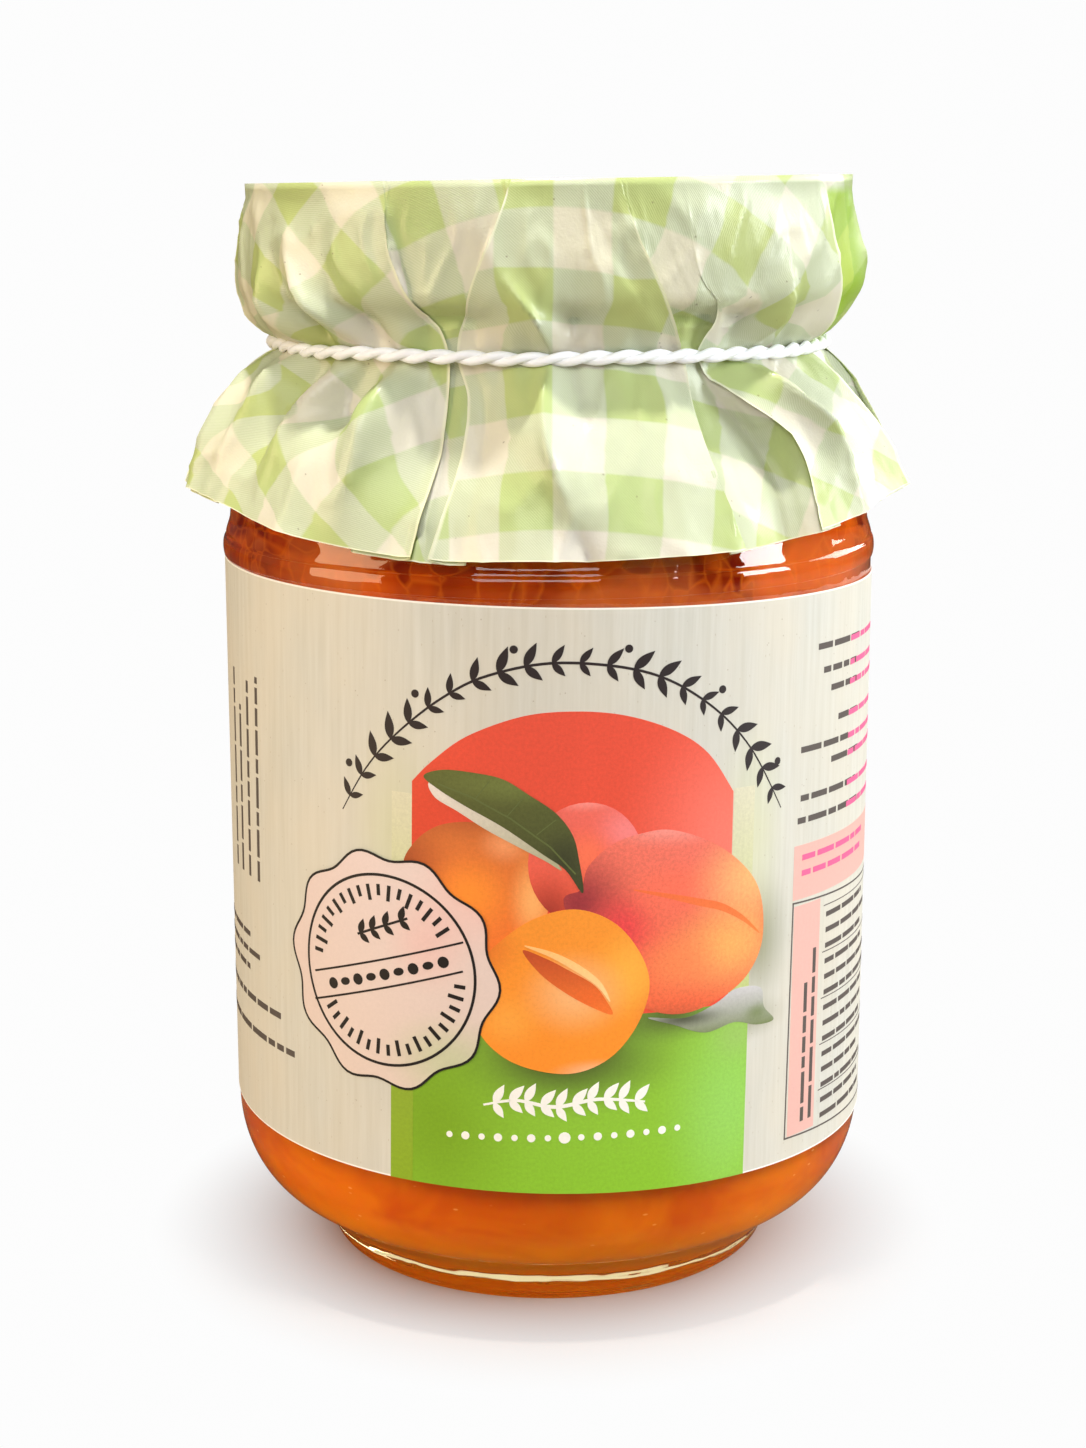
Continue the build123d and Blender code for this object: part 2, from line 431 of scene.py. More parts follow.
def outside_outline():
    """The outside of the glass from the hollow under the foot up to the mouth."""
    rest = FOOT_RADIUS - FOOT_ROUND
    outline = arc((0, 0), (FOOT_HOLLOW, PUNT), 90, 0, 14)
    outline += arc((rest, FOOT_ROUND), (FOOT_ROUND, FOOT_ROUND), -90, 0, 6)
    outline += arc((CORNER_RADIUS, BODY_BOTTOM), CORNER, -90, 0, 24)
    outline += straight(BODY_RADIUS, BEAD_LOW)
    bulge = BEAD_RADIUS - BODY_RADIUS
    outline += arc((BODY_RADIUS, BEAD_LOW + BEAD_HEIGHT / 2), (bulge, BEAD_HEIGHT / 2), -90, 90, 10)
    outline += s_curve((BODY_RADIUS, BEAD_LOW + BEAD_HEIGHT), (WAIST_RADIUS, WAIST_HEIGHT), 6)[1:]
    outline += s_curve((WAIST_RADIUS, WAIST_HEIGHT), (NECK_RADIUS, NECK_LOW), 18)[1:]
    outline += [(NECK_RADIUS, NECK_HIGH), (MOUTH_RADIUS, NECK_HIGH + MOUTH_STEP)]
    outline += arc((MOUTH_RADIUS - LIP, GLASS_MOUTH - LIP), (LIP, LIP), 0, 90, 5)
    return outline


lip_inside = arc((BORE_RADIUS + LIP, GLASS_MOUTH - LIP), (LIP, LIP), 90, 180, 5)
glass_outline = outside_outline() + lip_inside + inside_outline(0)[::-1]
print("glass outline points:", len(glass_outline))

# %% [markdown]
# Clear glass lets lamps shine through, but a path tracer treats its shadow as solid, so rays that
# look for a lamp pass straight through a transparent share instead. Pressed glass is never quite
# even: a faint, broad unevenness makes the reflections swim a little, and the thick foot has
# level ripples. The foot's glass is also painted amber, standing in for the jam's light that the
# foot refracts.

# %% Glass finish
GLASS_TINT = (0.955, 0.97, 0.90, 1)
FOOT_PAINTED_JAM_LIGHT = (0.95, 0.80, 0.44, 1)
clear = Finish("clear_glass", GLASS_TINT, 0.0, Transmission_Weight=1.0, IOR=1.5)
place = clear.object_place()
height = clear.split(place)[2]
uneven = clear.plus(clear.noise(place, 60.0, 2.0), clear.noise(place, 150.0, 2.0))
ripple = clear.noise(clear.scale(place, (1.0, 1.0, 5.0)), 110.0, 1.0)
ripple = clear.times(ripple, clear.band(height, 3 * MM, 7 * MM, 0.55, 0.0))
clear.bump(clear.plus(uneven, ripple), 0.22, 0.0012)
# Painted jam light: below the body the glass is tinted amber, for the jam's light that the foot
# refracts.
above_foot = clear.band(height, 4 * MM, 7 * MM)
clear.set(clear.shader, {"Base Color": clear.mix(above_foot, FOOT_PAINTED_JAM_LIGHT, GLASS_TINT)})
lamp_ray = clear.add("LightPath", {}).outputs["Is Shadow Ray"]
through = clear.add("BsdfTransparent", {"Color": (0.97, 0.97, 0.95, 1)}).outputs[0]
clear.set(clear.output, {"Surface": clear.mix_shaders(lamp_ray, clear.shader.outputs[0], through)})

finished("jar_glass", turned(glass_outline, GLASS_STEPS), clear.material, "glass", "glass_jar")

# %% [markdown]
# ## The jam
# Apricot jam is thick and lets light in a little way, so it glows orange where light reaches it
# and goes red-brown where it doesn't, as under the paper; towards the top that shade is painted
# into its colour. Up there it shows its chunks of fruit: cells of uneven brightness with paler
# edges, crossed by veins and patches of haze. Down at the foot it is smooth and bright, with pale
# flecks, and a painted glow makes it brightest at the very bottom. The jam reaches a hair into
# the glass, because a film of air between the two would look like a mirror.

# %% Jam finish
JAM_STEPS = 128
JAM_INTO_WALL = 0.12
JAM_ROUND = (1.2, 1.0)
JAM_HOLLOW = 0.6
SWIRL = (0.009, 0.009, 0.005)
jammy = Finish("apricot_jam", (0.6, 0.1, 0.01, 1), 0.4, Subsurface_Weight=0.5, Specular_IOR_Level=0.0)
jammy.set(jammy.shader, {"Subsurface Radius": (1.0, 0.25, 0.04), "Subsurface Scale": 0.004})
place = jammy.object_place()
height = jammy.split(place)[2]
fruit = jammy.noise(jammy.scale(place, (1.0, 1.0, 1.6)), 70.0, 3.0, 0.55, 0.6)
fruit_share = jammy.band(fruit, 0.42, 0.62)

low_jam = jammy.mix(fruit_share, colour(196, 80, 0), colour(216, 108, 2))
flecks = jammy.spots(jammy.scale(place, (1.0, 1.0, 2.4)), 300.0)
low_jam = jammy.over(low_jam, flecks, 0.05, 0.10, 0.55, colour(240, 168, 90))
# Painted glow: the jam is painted brighter towards the very bottom, for light coming through the foot.
low_jam = jammy.over(low_jam, height, 5 * MM, 12 * MM, 1.0, colour(250, 156, 30))

swirl = jammy.add("TexNoise", {"Vector": place, "Scale": 120.0, "Detail": 2.0}).outputs["Color"]
swirled = jammy.add("VectorMath", {0: swirl, 1: SWIRL, 2: place}, operation="MULTIPLY_ADD")
chunks = {"Vector": swirled.outputs[0], "Scale": 330.0}
chunk_tone = jammy.split(jammy.add("TexVoronoi", chunks).outputs["Color"])[0]
chunk_edge = jammy.add("TexVoronoi", chunks, feature="DISTANCE_TO_EDGE").outputs["Distance"]
tone = jammy.plus(jammy.times(chunk_tone, 0.45), jammy.times(fruit_share, 0.55))
high_jam = jammy.mix(jammy.band(tone, 0.1, 0.9), colour(108, 18, 0), colour(188, 74, 6))
high_jam = jammy.over(high_jam, chunk_edge, 0.0, 0.08, 0.3, colour(220, 112, 24))
streaks = jammy.noise(jammy.scale(place, (1.0, 1.0, 3.2)), 60.0, 1.0, 0.4, 0.5)
veins = jammy.off_middle(streaks)
high_jam = jammy.over(high_jam, veins, 0.0, 0.09, 0.45, colour(206, 96, 12))
haze = jammy.noise(jammy.scale(place, (1.0, 1.0, 2.0)), 62.0, 2.0, 0.4, 0.3)
high_jam = jammy.mix(jammy.band(haze, 0.52, 0.56, 0.0, 0.35), high_jam, colour(196, 104, 54))

# Painted shade: towards the top the colour turns to the darker high_jam, for the shade of the paper
# cover; the chunks in it are the jam's own.
under_paper_shade = jammy.band(height, 72 * MM, 80 * MM)
jammy.set(jammy.shader, {"Base Color": jammy.mix(under_paper_shade, low_jam, high_jam)})
jammy.bump(jammy.noise(place, 220.0, 3.0), 0.25, 0.0006)

jam_outline = inside_outline(JAM_INTO_WALL)
jam_outline += [(BORE_RADIUS + JAM_INTO_WALL, JAM_TOP - 0.4)]
jam_outline += arc((BORE_RADIUS - JAM_ROUND[0], JAM_TOP - JAM_ROUND[1]), JAM_ROUND, 40, 90, 4)
for step in range(1, 7):
    sunk = JAM_HOLLOW * sin(pi * step / 6)
    jam_outline.append((BORE_RADIUS * (1 - step / 6), JAM_TOP - sunk))
finished("jam_fill", turned(jam_outline, JAM_STEPS), jammy.material, "jam", "jam")

# %% [markdown]
# ## The lid
# The paper hides the lid, so its CAD shape is kept and only gets the cream lacquer that lids of
# this kind have, with the faint mottle of sprayed paint.

# %% Lid finish
lacquer = Finish("cream_lacquer", colour(232, 228, 214), 0.32, Metallic=0.0, Coat_Weight=0.4)
speckle = lacquer.noise(lacquer.object_place(), 900.0, 2.0)
cream = lacquer.mix(speckle, colour(226, 222, 206), colour(238, 234, 222))
lacquer.set(lacquer.shader, {"Base Color": cream})
lacquer.bump(speckle, 0.1, 0.0002)
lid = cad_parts["lid"]
lid.data.materials.clear()
lid.data.materials.append(lacquer.material)
print("lid keeps its CAD shape, with", lacquer.material.name)

# %% [markdown]
# ## The paper cover
# A round sheet laid over a lid has too much edge: where the cord ties it, it is about three
# quarters longer than the neck is round. Hands gather the spare paper into folds, some pressed
# flat and lapped over, some left as soft lobes. A cloth simulation would make folds of its own
# choosing, so this sheet is folded by rule: it starts as a flat disc of rings and columns, which
# also gives the print its true flat coordinates, and each of its points is then moved to its
# folded place.
#
# Two profiles bound the paper, the furthest out and the furthest in that it gets at each step
# from the lid's edge (0) past the cord (1) to the hem (2). A weight from 0 to 1 says where
# between them the paper lies. Between the given points the profiles run on smooth curves.

# %% Profiles of the cover
PUFF = 0.3
OUTER_PROFILE = (
    # step, radius, height
    (0.00, LID_RADIUS - 0.6, COVER_TOP + PUFF),
    (0.04, LID_RADIUS + 0.2, COVER_TOP - 0.5),
    (0.10, LID_RADIUS + 0.75, COVER_TOP - 1.8),
    (0.30, LID_RADIUS + 1.5, COVER_TOP - 5.2),
    (0.50, LID_RADIUS + 2.0, LID_EDGE + 3.4),
    (0.66, LID_RADIUS + 2.2, LID_EDGE + 0.3),
    (0.80, LID_RADIUS + 1.2, CORD_HEIGHT + 3.4),
    (0.92, LID_RADIUS - 0.9, CORD_HEIGHT + 1.35),
    (1.00, LID_RADIUS - 2.8, CORD_HEIGHT + 0.1),
    (1.08, LID_RADIUS - 1.4, CORD_HEIGHT - 1.0),
    (1.20, LID_RADIUS + 1.5, CORD_HEIGHT - 2.9),
    (1.50, LID_RADIUS + 5.3, CORD_HEIGHT - 8.2),
    (1.75, LID_RADIUS + 6.8, CORD_HEIGHT - 12.4),
    (2.00, LID_RADIUS + 8.6, CORD_HEIGHT - 16.6),
)
INNER_PROFILE = (
    (0.00, LID_RADIUS - 0.6, COVER_TOP + PUFF),
    (0.04, LID_RADIUS + 0.15, COVER_TOP - 0.55),
    (0.10, LID_RADIUS + 0.4, COVER_TOP - 1.95),
    (0.30, LID_RADIUS + 0.35, COVER_TOP - 5.7),
    (0.50, LID_RADIUS + 0.25, LID_EDGE + 2.0),
    (0.60, LID_RADIUS - 0.1, LID_EDGE - 0.1),
    (0.72, LID_RADIUS - 1.9, LID_EDGE - 1.6),
    (0.86, LID_RADIUS - 2.6, CORD_HEIGHT + 2.2),
    (1.00, LID_RADIUS - 3.15, CORD_HEIGHT),
    (1.08, LID_RADIUS - 2.9, CORD_HEIGHT - 1.6),
    (1.20, LID_RADIUS - 2.1, CORD_HEIGHT - 4.0),
    (1.50, LID_RADIUS + 0.3, CORD_HEIGHT - 9.8),
    (1.75, LID_RADIUS + 3.0, CORD_HEIGHT - 15.0),
    (2.00, LID_RADIUS + 4.8, CORD_HEIGHT - 20.6),
)


def along(stations, step):
    """Values between stations, the first number of each being its step, on a smooth curve."""
    last = len(stations) - 1
    index = 0
    while index < last - 1 and stations[index + 1][0] < step:
        index += 1
    before, start = stations[max(index - 1, 0)], stations[index]
    end, after = stations[index + 1], stations[min(index + 2, last)]
    span = end[0] - start[0]
    t = min(max((step - start[0]) / span, 0.0), 1.0)
    found = []
    for axis in range(1, len(start)):
        slope_in = (end[axis] - before[axis]) / (end[0] - before[0])
        slope_out = (after[axis] - start[axis]) / (after[0] - start[0])
        found.append(
            (2 * t**3 - 3 * t**2 + 1) * start[axis]
            + (t**3 - 2 * t**2 + t) * span * slope_in
            + (3 * t**2 - 2 * t**3) * end[axis]
            + (t**3 - t**2) * span * slope_out
        )
    return found


print("profiles:", len(OUTER_PROFILE), "stations outside,", len(INNER_PROFILE), "inside")

# %% [markdown]
# A lapped fold is a fold that is pressed over: the paper goes out to a crest, turns back under
# itself, turns again and goes on. Its crest wanders round the jar from the lid to the hem, so it
# has an angle at seven steps: the lid's edge, the side of the lid, under the lid, the cord, just
# below it, the middle of the skirt and the hem. side is 1 where the paper to its left lies on
# top, and -1 where the paper to its right does. Some folds are only half there at the lid's edge
# or the hem, so each also says how much of it is present. A lobe is a soft fold: a ridge, or with
# a negative strength a valley, whose strength changes along its way.

# %% Folds of the cover
STATIONS = (0.0, 0.45, 0.75, 1.0, 1.2, 1.5, 2.0)
WHOLE = (1, 1, 1, 1, 1, 1, 1)
Fold = namedtuple("Fold", "angles side share lift hollow presence")
Lobe = namedtuple("Lobe", "angles strengths width sharpness")
FOLDS = [Fold(*row) for row in (
    # angles in degrees, side, share of the spare paper, lift of the crest, hollow beside it,
    # and how much of the fold is present at each station
    ((-158, -156, -154, -152, -153, -154, -157), 1, 0.8, 0.25, 0.55, WHOLE),
    ((-127, -130, -132, -133, -130, -127, -124), -1, 0.8, 0.20, 0.50, WHOLE),
    ((-101, -99, -100, -101, -102, -103, -100), 1, 0.8, 0.20, 0.50, WHOLE),
    ((-82, -80, -79, -77, -78, -76, -75), -1, 0.8, 0.25, 0.40, WHOLE),
    ((-29.5, -27.2, -22.4, -19.8, -19.7, -19.7, -21), 1, 0.9, 0.35, 0.95, (0.3, 0.9, 1, 1, 1, 1, 1)),
    ((-6.6, -11.5, -16.6, -18.3, -15.8, -15.9, -18.6), -1, 0.5, 0.30, 0.80, WHOLE),
    ((12, 17, 22, 26.7, 26.9, 26.6, 30), 1, 0.6, 0.35, 0.80, (0.4, 1, 1, 1, 0.7, 0.4, 0.4)),
    ((24, 27, 32.5, 30.4, 35, 44, 44.8), -1, 0.7, 0.25, 0.75, (0, 0.05, 0.9, 1, 1, 1, 0.8)),
    ((59.5, 62, 64, 66, 67.5, 71, 72.6), 1, 0.9, 0.30, 0.65, WHOLE),
    ((99, 98, 97, 97, 96, 95, 94), -1, 0.8, 0.25, 0.50, WHOLE),
    ((118, 121, 123, 124, 123, 121, 118), 1, 0.8, 0.20, 0.50, WHOLE),
    ((148, 146, 147, 149, 151, 152, 154), -1, 0.8, 0.25, 0.60, WHOLE),
    ((176, 175, 173, 172, 174, 176, 179), 1, 0.7, 0.20, 0.45, WHOLE),
)]
LOBES = [Lobe(*row) for row in (
    # angles in degrees, strength at each station, width in mm, sharpness
    ((-74, -75, -73, -71, -70, -69, -68), (0.5, 0.2, 0.1, 0.2, 0.5, 0.5, 0.4), 2.6, 1.2),
    ((-66, -61, -60, -58.6, -60, -61, -64), (0.0, 0.3, 0.6, 0.5, 0.6, 0.3, 0.1), 2.3, 1.3),
    ((-60, -57, -52, -48, -53, -55, -56), (0.0, -0.4, -0.8, -0.6, -0.6, -0.3, 0.0), 2.4, 1.6),
    ((-52, -51.3, -44, -38.8, -46, -50, -52), (0.1, 0.6, 0.8, 0.5, 0.5, 0.3, 0.0), 2.6, 1.3),
    ((-44, -42, -36.5, -34.5, -34, -34, -36), (0.0, -0.2, -0.8, -0.6, 0.2, 0.2, 0.0), 2.4, 1.5),
    ((-37, -37, -37, -37, -39.5, -42, -43), (0.0, 0.0, -0.1, -0.7, -1.4, 0.0, 0.3), 2.4, 1.8),
    ((-34, -34, -32, -31, -31, -32, -34), (0.0, 0.0, 0.2, 0.3, 0.5, 0.3, 0.0), 2.2, 1.4),
    ((-17, -18, -19.4, -19, -18, -18, -19), (0.0, 0.0, -0.8, -0.7, -0.4, -0.3, 0.0), 2.6, 2.0),
    ((-12, -9, -3, 0.4, -1.0, 0, 6), (0.0, 0.2, 0.7, 0.5, 0.5, 0.5, -0.3), 2.2, 1.1),
    ((3, 4, 4.5, 5, 5, 7, 9), (0.0, -0.1, -0.6, -0.4, -0.3, -0.1, 0.0), 3.0, 1.6),
    ((8, 13, 18, 22, 21, 20, 20), (-0.5, -0.4, 0.1, -0.1, 0.1, 0.1, 0.1), 2.6, 1.6),
    ((38, 38, 38.5, 37, 31, 38, 40), (0.1, -0.3, -0.8, -0.6, -0.2, -0.5, -0.2), 2.4, 1.6),
    ((45, 46, 45.5, 43, 44, 51, 54), (0.1, 0.3, 0.7, 0.5, 0.8, 0.6, 0.3), 2.2, 1.2),
    ((52, 52, 52.5, 53, 52, 58, 62), (0.0, -0.1, -0.5, -0.5, -0.6, -0.2, 0.0), 2.4, 1.5),
    ((84, 87, 86, 84, 84, 84, 84), (0.2, 0.7, 0.4, 0.2, 0.2, 0.3, 0.3), 5.0, 2.4),
    ((108, 109, 109, 110, 109, 108, 106), (0.1, 0.5, 0.4, 0.3, 0.5, 0.6, 0.2), 3.0, 1.4),
    ((135, 134, 136, 137, 136, 136, 136), (0.1, 0.5, 0.5, 0.4, 0.6, 0.7, 0.2), 3.2, 1.4),
    ((164, 162, 161, 161, 162, 163, 166), (0.1, -0.4, -0.4, -0.3, -0.4, -0.5, -0.1), 3.0, 1.6),
    ((-168, -167, -169, -170, -168, -167, -166), (0.1, 0.4, 0.4, 0.3, 0.5, 0.6, 0.2), 3.0, 1.3),
    ((-142, -143, -142, -142, -142, -141, -141), (0.1, 0.5, 0.5, 0.4, 0.5, 0.6, 0.2), 3.2, 1.4),
    ((-114, -113, -115, -116, -116, -115, -112), (0.0, -0.4, -0.4, -0.3, -0.4, -0.5, -0.1), 2.8, 1.6),
    ((-90, -89, -90, -90, -90, -90, -88), (0.1, 0.5, 0.4, 0.3, 0.4, 0.5, 0.3), 3.0, 1.4),
)]
LOBE_DEPTH = 1.25
LOBE_SHARPNESS = 0.78
LOBE_REACH = 6
CREST_WIDTH = 2.2
HOLLOW_WIDTH = 2.8
HOLLOW_DEPTH = 0.8
PLEATS = 47
PLEAT_DEPTH = 0.14
LAYER_STEPS = ((0.0, 0.0), (0.08, 0.10), (0.5, 0.14), (1.0, 0.12), (1.3, 0.15), (2.0, 0.18))
SLACK_STEPS = ((0.0, 0.5), (0.45, 0.55), (0.75, 0.6), (1.0, 0.8), (1.2, 0.5), (1.5, 0.42), (2.0, 0.42))
SIDE_SLACK = 0.40
SIDE_AT = radians(76)
SIDE_WIDTH = radians(30)
SIDE_SHORTER = 0.15
STEADY_HEM = 0.75
HEM_DROP = 0.45
LID_CLEAR = 2.2
UNDER_LID_INSET = 3.2
OVER_LID_RISE = 3.7
PLEAT_SPAN = 0.14
PRESSED_SPAN = 0.07
print(len(FOLDS), "lapped folds and", len(LOBES), "lobes")

# %% [markdown]
# The sheet is folded one ring at a time. A level gathers what is known about its ring, and its
# weight adds up every fold near an angle: the paper climbs to a crest, drops into the hollow
# beyond it, and swells or sinks at the lobes. At the cord it is pressed flat, with fine pleats;
# beside the lid it is kept out of the lid; and towards the hem it hangs more and more level.

# %% Where the paper lies
def at_stations(values, step):
    """A value set at the stations, at any step."""
    return along([(station, value) for station, value in zip(STATIONS, values)], step)[0]


def sideways(angle):
    """1 at the two sides of the jar, where the skirt flares most, and 0 in front."""
    turn = abs((angle + pi) % (2 * pi) - pi)
    return exp(-(((turn - SIDE_AT) / SIDE_WIDTH) ** 2))


def held(value, low=0.0, high=1.0):
    """A value kept between two bounds."""
    return min(max(value, low), high)


def blend(first, second, share):
    return [a + (b - a) * share for a, b in zip(first, second)]


class Level:
    """One ring of the folded sheet: where its folds stand, and how far out its paper lies."""

    def __init__(self, step):
        self.step = step
        self.outer = along(OUTER_PROFILE, step)
        self.inner = along(INNER_PROFILE, step)
        short = 1 + (step - 1) * (1 - SIDE_SHORTER) if step > 1 else step
        self.outer_side = along(OUTER_PROFILE, short)
        self.inner_side = along(INNER_PROFILE, short)
        self.radius = (self.outer[0] + self.inner[0]) / 2
        self.layer = along(LAYER_STEPS, step)[0]
        self.slack = along(SLACK_STEPS, step)[0]
        self.below_cord = max(0.0, step - 1)
        self.near_hem = max(0.0, step - 1.5) * 2
        self.ease = EASE + HEM_EASE * self.near_hem
        self.calm = held(step / 0.2)
        self.crests = [radians(at_stations(fold.angles, step)) for fold in FOLDS]
        self.present = [held(at_stations(fold.presence, step)) for fold in FOLDS]
        self.ridges = [radians(at_stations(lobe.angles, step)) for lobe in LOBES]
        self.strengths = [at_stations(lobe.strengths, step) for lobe in LOBES]

    def distance(self, angle, crest):
        """Millimetres round the jar from a crest to an angle, the short way."""
        turn = (angle - crest + pi) % (2 * pi) - pi
        return turn * self.radius

    def flare(self, side):
        """How far out the paper hangs with no fold near, by how much at the jar's side it is."""
        return self.slack + SIDE_SLACK * side * self.below_cord

    def weight(self, angle, owner=None, beyond=0):
        """How far out the paper lies at an angle. At the crest of fold number owner itself,
        beyond says which side is meant: 1 is past the crest, -1 before it."""
        total = self.flare(sideways(angle))
        for number, fold in enumerate(FOLDS):
            gap = self.distance(angle, self.crests[number]) * fold.side
            amount = self.calm * self.present[number]
            if number == owner:
                gap = beyond * max(abs(gap), 1e-6)
            if gap <= 0:
                total += fold.lift * exp(gap / CREST_WIDTH) * amount
            else:
                rise = gap / HOLLOW_WIDTH
                total -= fold.hollow * rise * exp(1 - rise) * HOLLOW_DEPTH * amount
        for lobe, ridge, strength in zip(LOBES, self.ridges, self.strengths):
            gap = abs(self.distance(angle, ridge)) / lobe.width
            if gap < LOBE_REACH:
                shape = exp(-gap ** (lobe.sharpness * LOBE_SHARPNESS))
                total += LOBE_DEPTH * strength * shape * self.calm
        near_cord = exp(-((self.step - 1.0) / PLEAT_SPAN) ** 2)
        total += PLEAT_DEPTH * near_cord * cos(PLEATS * angle + 2.5 * sin(4 * angle))
        return held(total, -0.15, 2.2)

    def deeper(self, behind):
        """Layers more that tucked paper lies in, some millimetres behind its crest."""
        room = min(1.0, abs(self.step - 1) / 0.15)
        return DEEPER * room * min(1.0, behind / DEEPER_AFTER)

    def place(self, angle, layers, owner=None, beyond=0):
        """The point of the paper at an angle, under a number of layers."""
        share = self.weight(angle, owner, beyond)
        pressed = max(0.0, 1 - abs(self.step - 1.0) / PRESSED_SPAN)
        share = share + (held(share) - share) * pressed
        side = sideways(angle)
        inner = blend(self.inner, self.inner_side, side)
        outer = blend(self.outer, self.outer_side, side)
        radius = inner[0] + (outer[0] - inner[0]) * share - layers * self.layer
        hanging = held((self.step - 1.2) / 0.6) * STEADY_HEM
        drape = min(share, 1.3)
        drape += (self.flare(side) - drape) * hanging
        height = inner[1] + (outer[1] - inner[1]) * drape
        beside_lid = held((height - LID_EDGE + LID_CLEAR) / LID_CLEAR)
        least = LID_RADIUS - UNDER_LID_INSET + OVER_LID_RISE * beside_lid - layers * 0.1
        height -= HEM_DROP * min(layers, 2) / 2 * self.near_hem
        tilt = RIM_TILT * sin(angle) * max(0.0, 1 - self.step / 0.5)
        radius = max(radius, least)
        return Vector((radius * sin(angle), -radius * cos(angle), height + tilt))


# %% [markdown]
# The sheet's flat radius at each step is the path's length from the lid's middle. What a ring has
# over the way round the jar is spare paper, and each lapped fold hides its share of it: half in
# the layer that turns back, half in the layer that goes on beneath. Where a fold isn't present
# its tuck is a little less than nothing, so its columns open out and none turns back.

# %% Rings and columns
FLAT_EDGE = LID_RADIUS - 0.6
RIM_TILT = 0.5
DRUM_RINGS = 28
SKIRT_RINGS = 32
RETURN_COLUMNS = 10
BESIDE_CREST = 0.14
EASE = 1.6
HEM_EASE = 4.0
# How white the column beside a crest is painted: crease wear and painted edge highlight.
WORN_AND_LIT = 0.85
DEEPER = 1.6
DEEPER_AFTER = 3.0
COLUMNS_PER_RADIAN = 64
LEAST_COLUMNS = 10
MORE_COLUMNS = 8
SPARE_TO_FOLD = 0.6
UNFOLDED = 0.018


def flat_radii(levels):
    """The flat radius of the sheet at each level, from the middle of the two profiles."""
    radii = [FLAT_EDGE]
    for before, after in zip(levels, levels[1:]):
        rise = hypot(after.outer[0] - before.outer[0], after.outer[1] - before.outer[1])
        fall = hypot(after.inner[0] - before.inner[0], after.inner[1] - before.inner[1])
        radii.append(radii[-1] + (rise + fall) / 2)
    return radii


def folded_ring(level, flat_radius, columns):
    """The points of one ring in the order in which they lie along the flat sheet, and how
    sharply the paper is creased at each."""
    points = []
    creases = []
    count = len(FOLDS)
    spare = max(flat_radius - level.radius, 0.05)
    ready = min(1.0, spare / SPARE_TO_FOLD)

    def tuck(fold, room):
        """The angle that a fold hides, from the room between its two neighbours."""
        folded = level.present[fold] * ready
        return spare * room / 4 * FOLDS[fold].share * folded / level.radius - UNFOLDED * (1 - folded)

    for number in range(count):
        following = (number + 1) % count
        start, end = level.crests[number], level.crests[following]
        if following == 0:
            end += 2 * pi
        before = level.crests[number - 1] - (2 * pi if number == 0 else 0)
        after = level.crests[(number + 2) % count] + (2 * pi if number + 2 >= count else 0)
        tuck_start = tuck(number, end - before)
        tuck_end = tuck(following, after - start)
        here, there = level.present[number], level.present[following]
        start_under = FOLDS[number].side == 1
        end_under = FOLDS[following].side == -1
        low = start - (tuck_start if start_under else 0.0)
        high = end + (tuck_end if end_under else 0.0)
        layers_start = 2 * here if start_under else 0.0
        layers_end = 2 * there if end_under else 0.0
        first_crease = 0.0 if start_under else here
        last_crease = 0.0 if end_under else there
        total = columns[number]
        creases += [first_crease, first_crease * WORN_AND_LIT] + [0.0] * (total - 4)
        creases += [last_crease * WORN_AND_LIT, last_crease] + [0.0] * RETURN_COLUMNS
        beside = BESIDE_CREST / (level.radius * (high - low))
        for column in range(total):
            share = column / (total - 1)
            if column == 1 and first_crease > 0:
                share = beside
            if column == total - 2 and last_crease > 0:
                share = 1 - beside
            angle = low + (high - low) * share
            behind = max(start - angle, angle - end) * level.radius
            eased = max(
                layers_start * exp(-(angle - start) * level.radius / level.ease),
                layers_end * exp(-(end - angle) * level.radius / level.ease),
            )
            if behind > 1e-9:
                amount = here if angle < start else there
                points.append(level.place(angle, (2 + level.deeper(behind)) * amount))
            elif column == 0:
                points.append(level.place(angle, eased, number, -1))
            elif column == total - 1:
                points.append(level.place(angle, eased, following, -1))
            else:
                points.append(level.place(angle, eased))
        back_from, back_to = (end + tuck_end, end) if end_under else (end, end - tuck_end)
        for column in range(RETURN_COLUMNS):
            angle = back_from + (back_to - back_from) * (column + 0.5) / RETURN_COLUMNS
            under = 1 + level.deeper(abs(angle - end) * level.radius)
            points.append(level.place(angle, under * there))
    return points, creases


def steps_of(first, last, count):
    return [first + (last - first) * number / count for number in range(count + 1)]


ring_steps = steps_of(0.0, 1.0, DRUM_RINGS) + steps_of(1.0, 2.0, SKIRT_RINGS)[1:]
levels = [Level(step) for step in ring_steps]
radii = flat_radii(levels)
SHEET_RADIUS = radii[-1]
columns = []
for number in range(len(FOLDS)):
    span = 0.0
    for level in (levels[0], levels[DRUM_RINGS], levels[-1]):
        crests = level.crests + [level.crests[0] + 2 * pi]
        span = max(span, crests[number + 1] - crests[number])
    columns.append(max(LEAST_COLUMNS, ceil(span * COLUMNS_PER_RADIAN) + MORE_COLUMNS))
total_columns = sum(columns) + RETURN_COLUMNS * len(FOLDS)
print("flat sheet", round(2 * SHEET_RADIUS, 1), "mm across,", total_columns, "columns")

# %% [markdown]
# The flat sheet is made with operators: a circle of as many corners as there are columns, then
# ring after ring extruded from it. The folded paper is also crumpled a little, with sharp small
# ridges as stiff paper has. Along the crests a crease value is kept for the finish, and the
# edges there stay sharp.

# %% Fold the sheet
CRUMPLE = 0.42
CRUMPLE_INWARD = -0.35
CRUMPLE_SIZE = 8.5
SHARP_CREASE = 0.3


def ring_edges(bm, ring):
    return [bm.edges.get((ring[i], ring[(i + 1) % len(ring)])) for i in range(len(ring))]


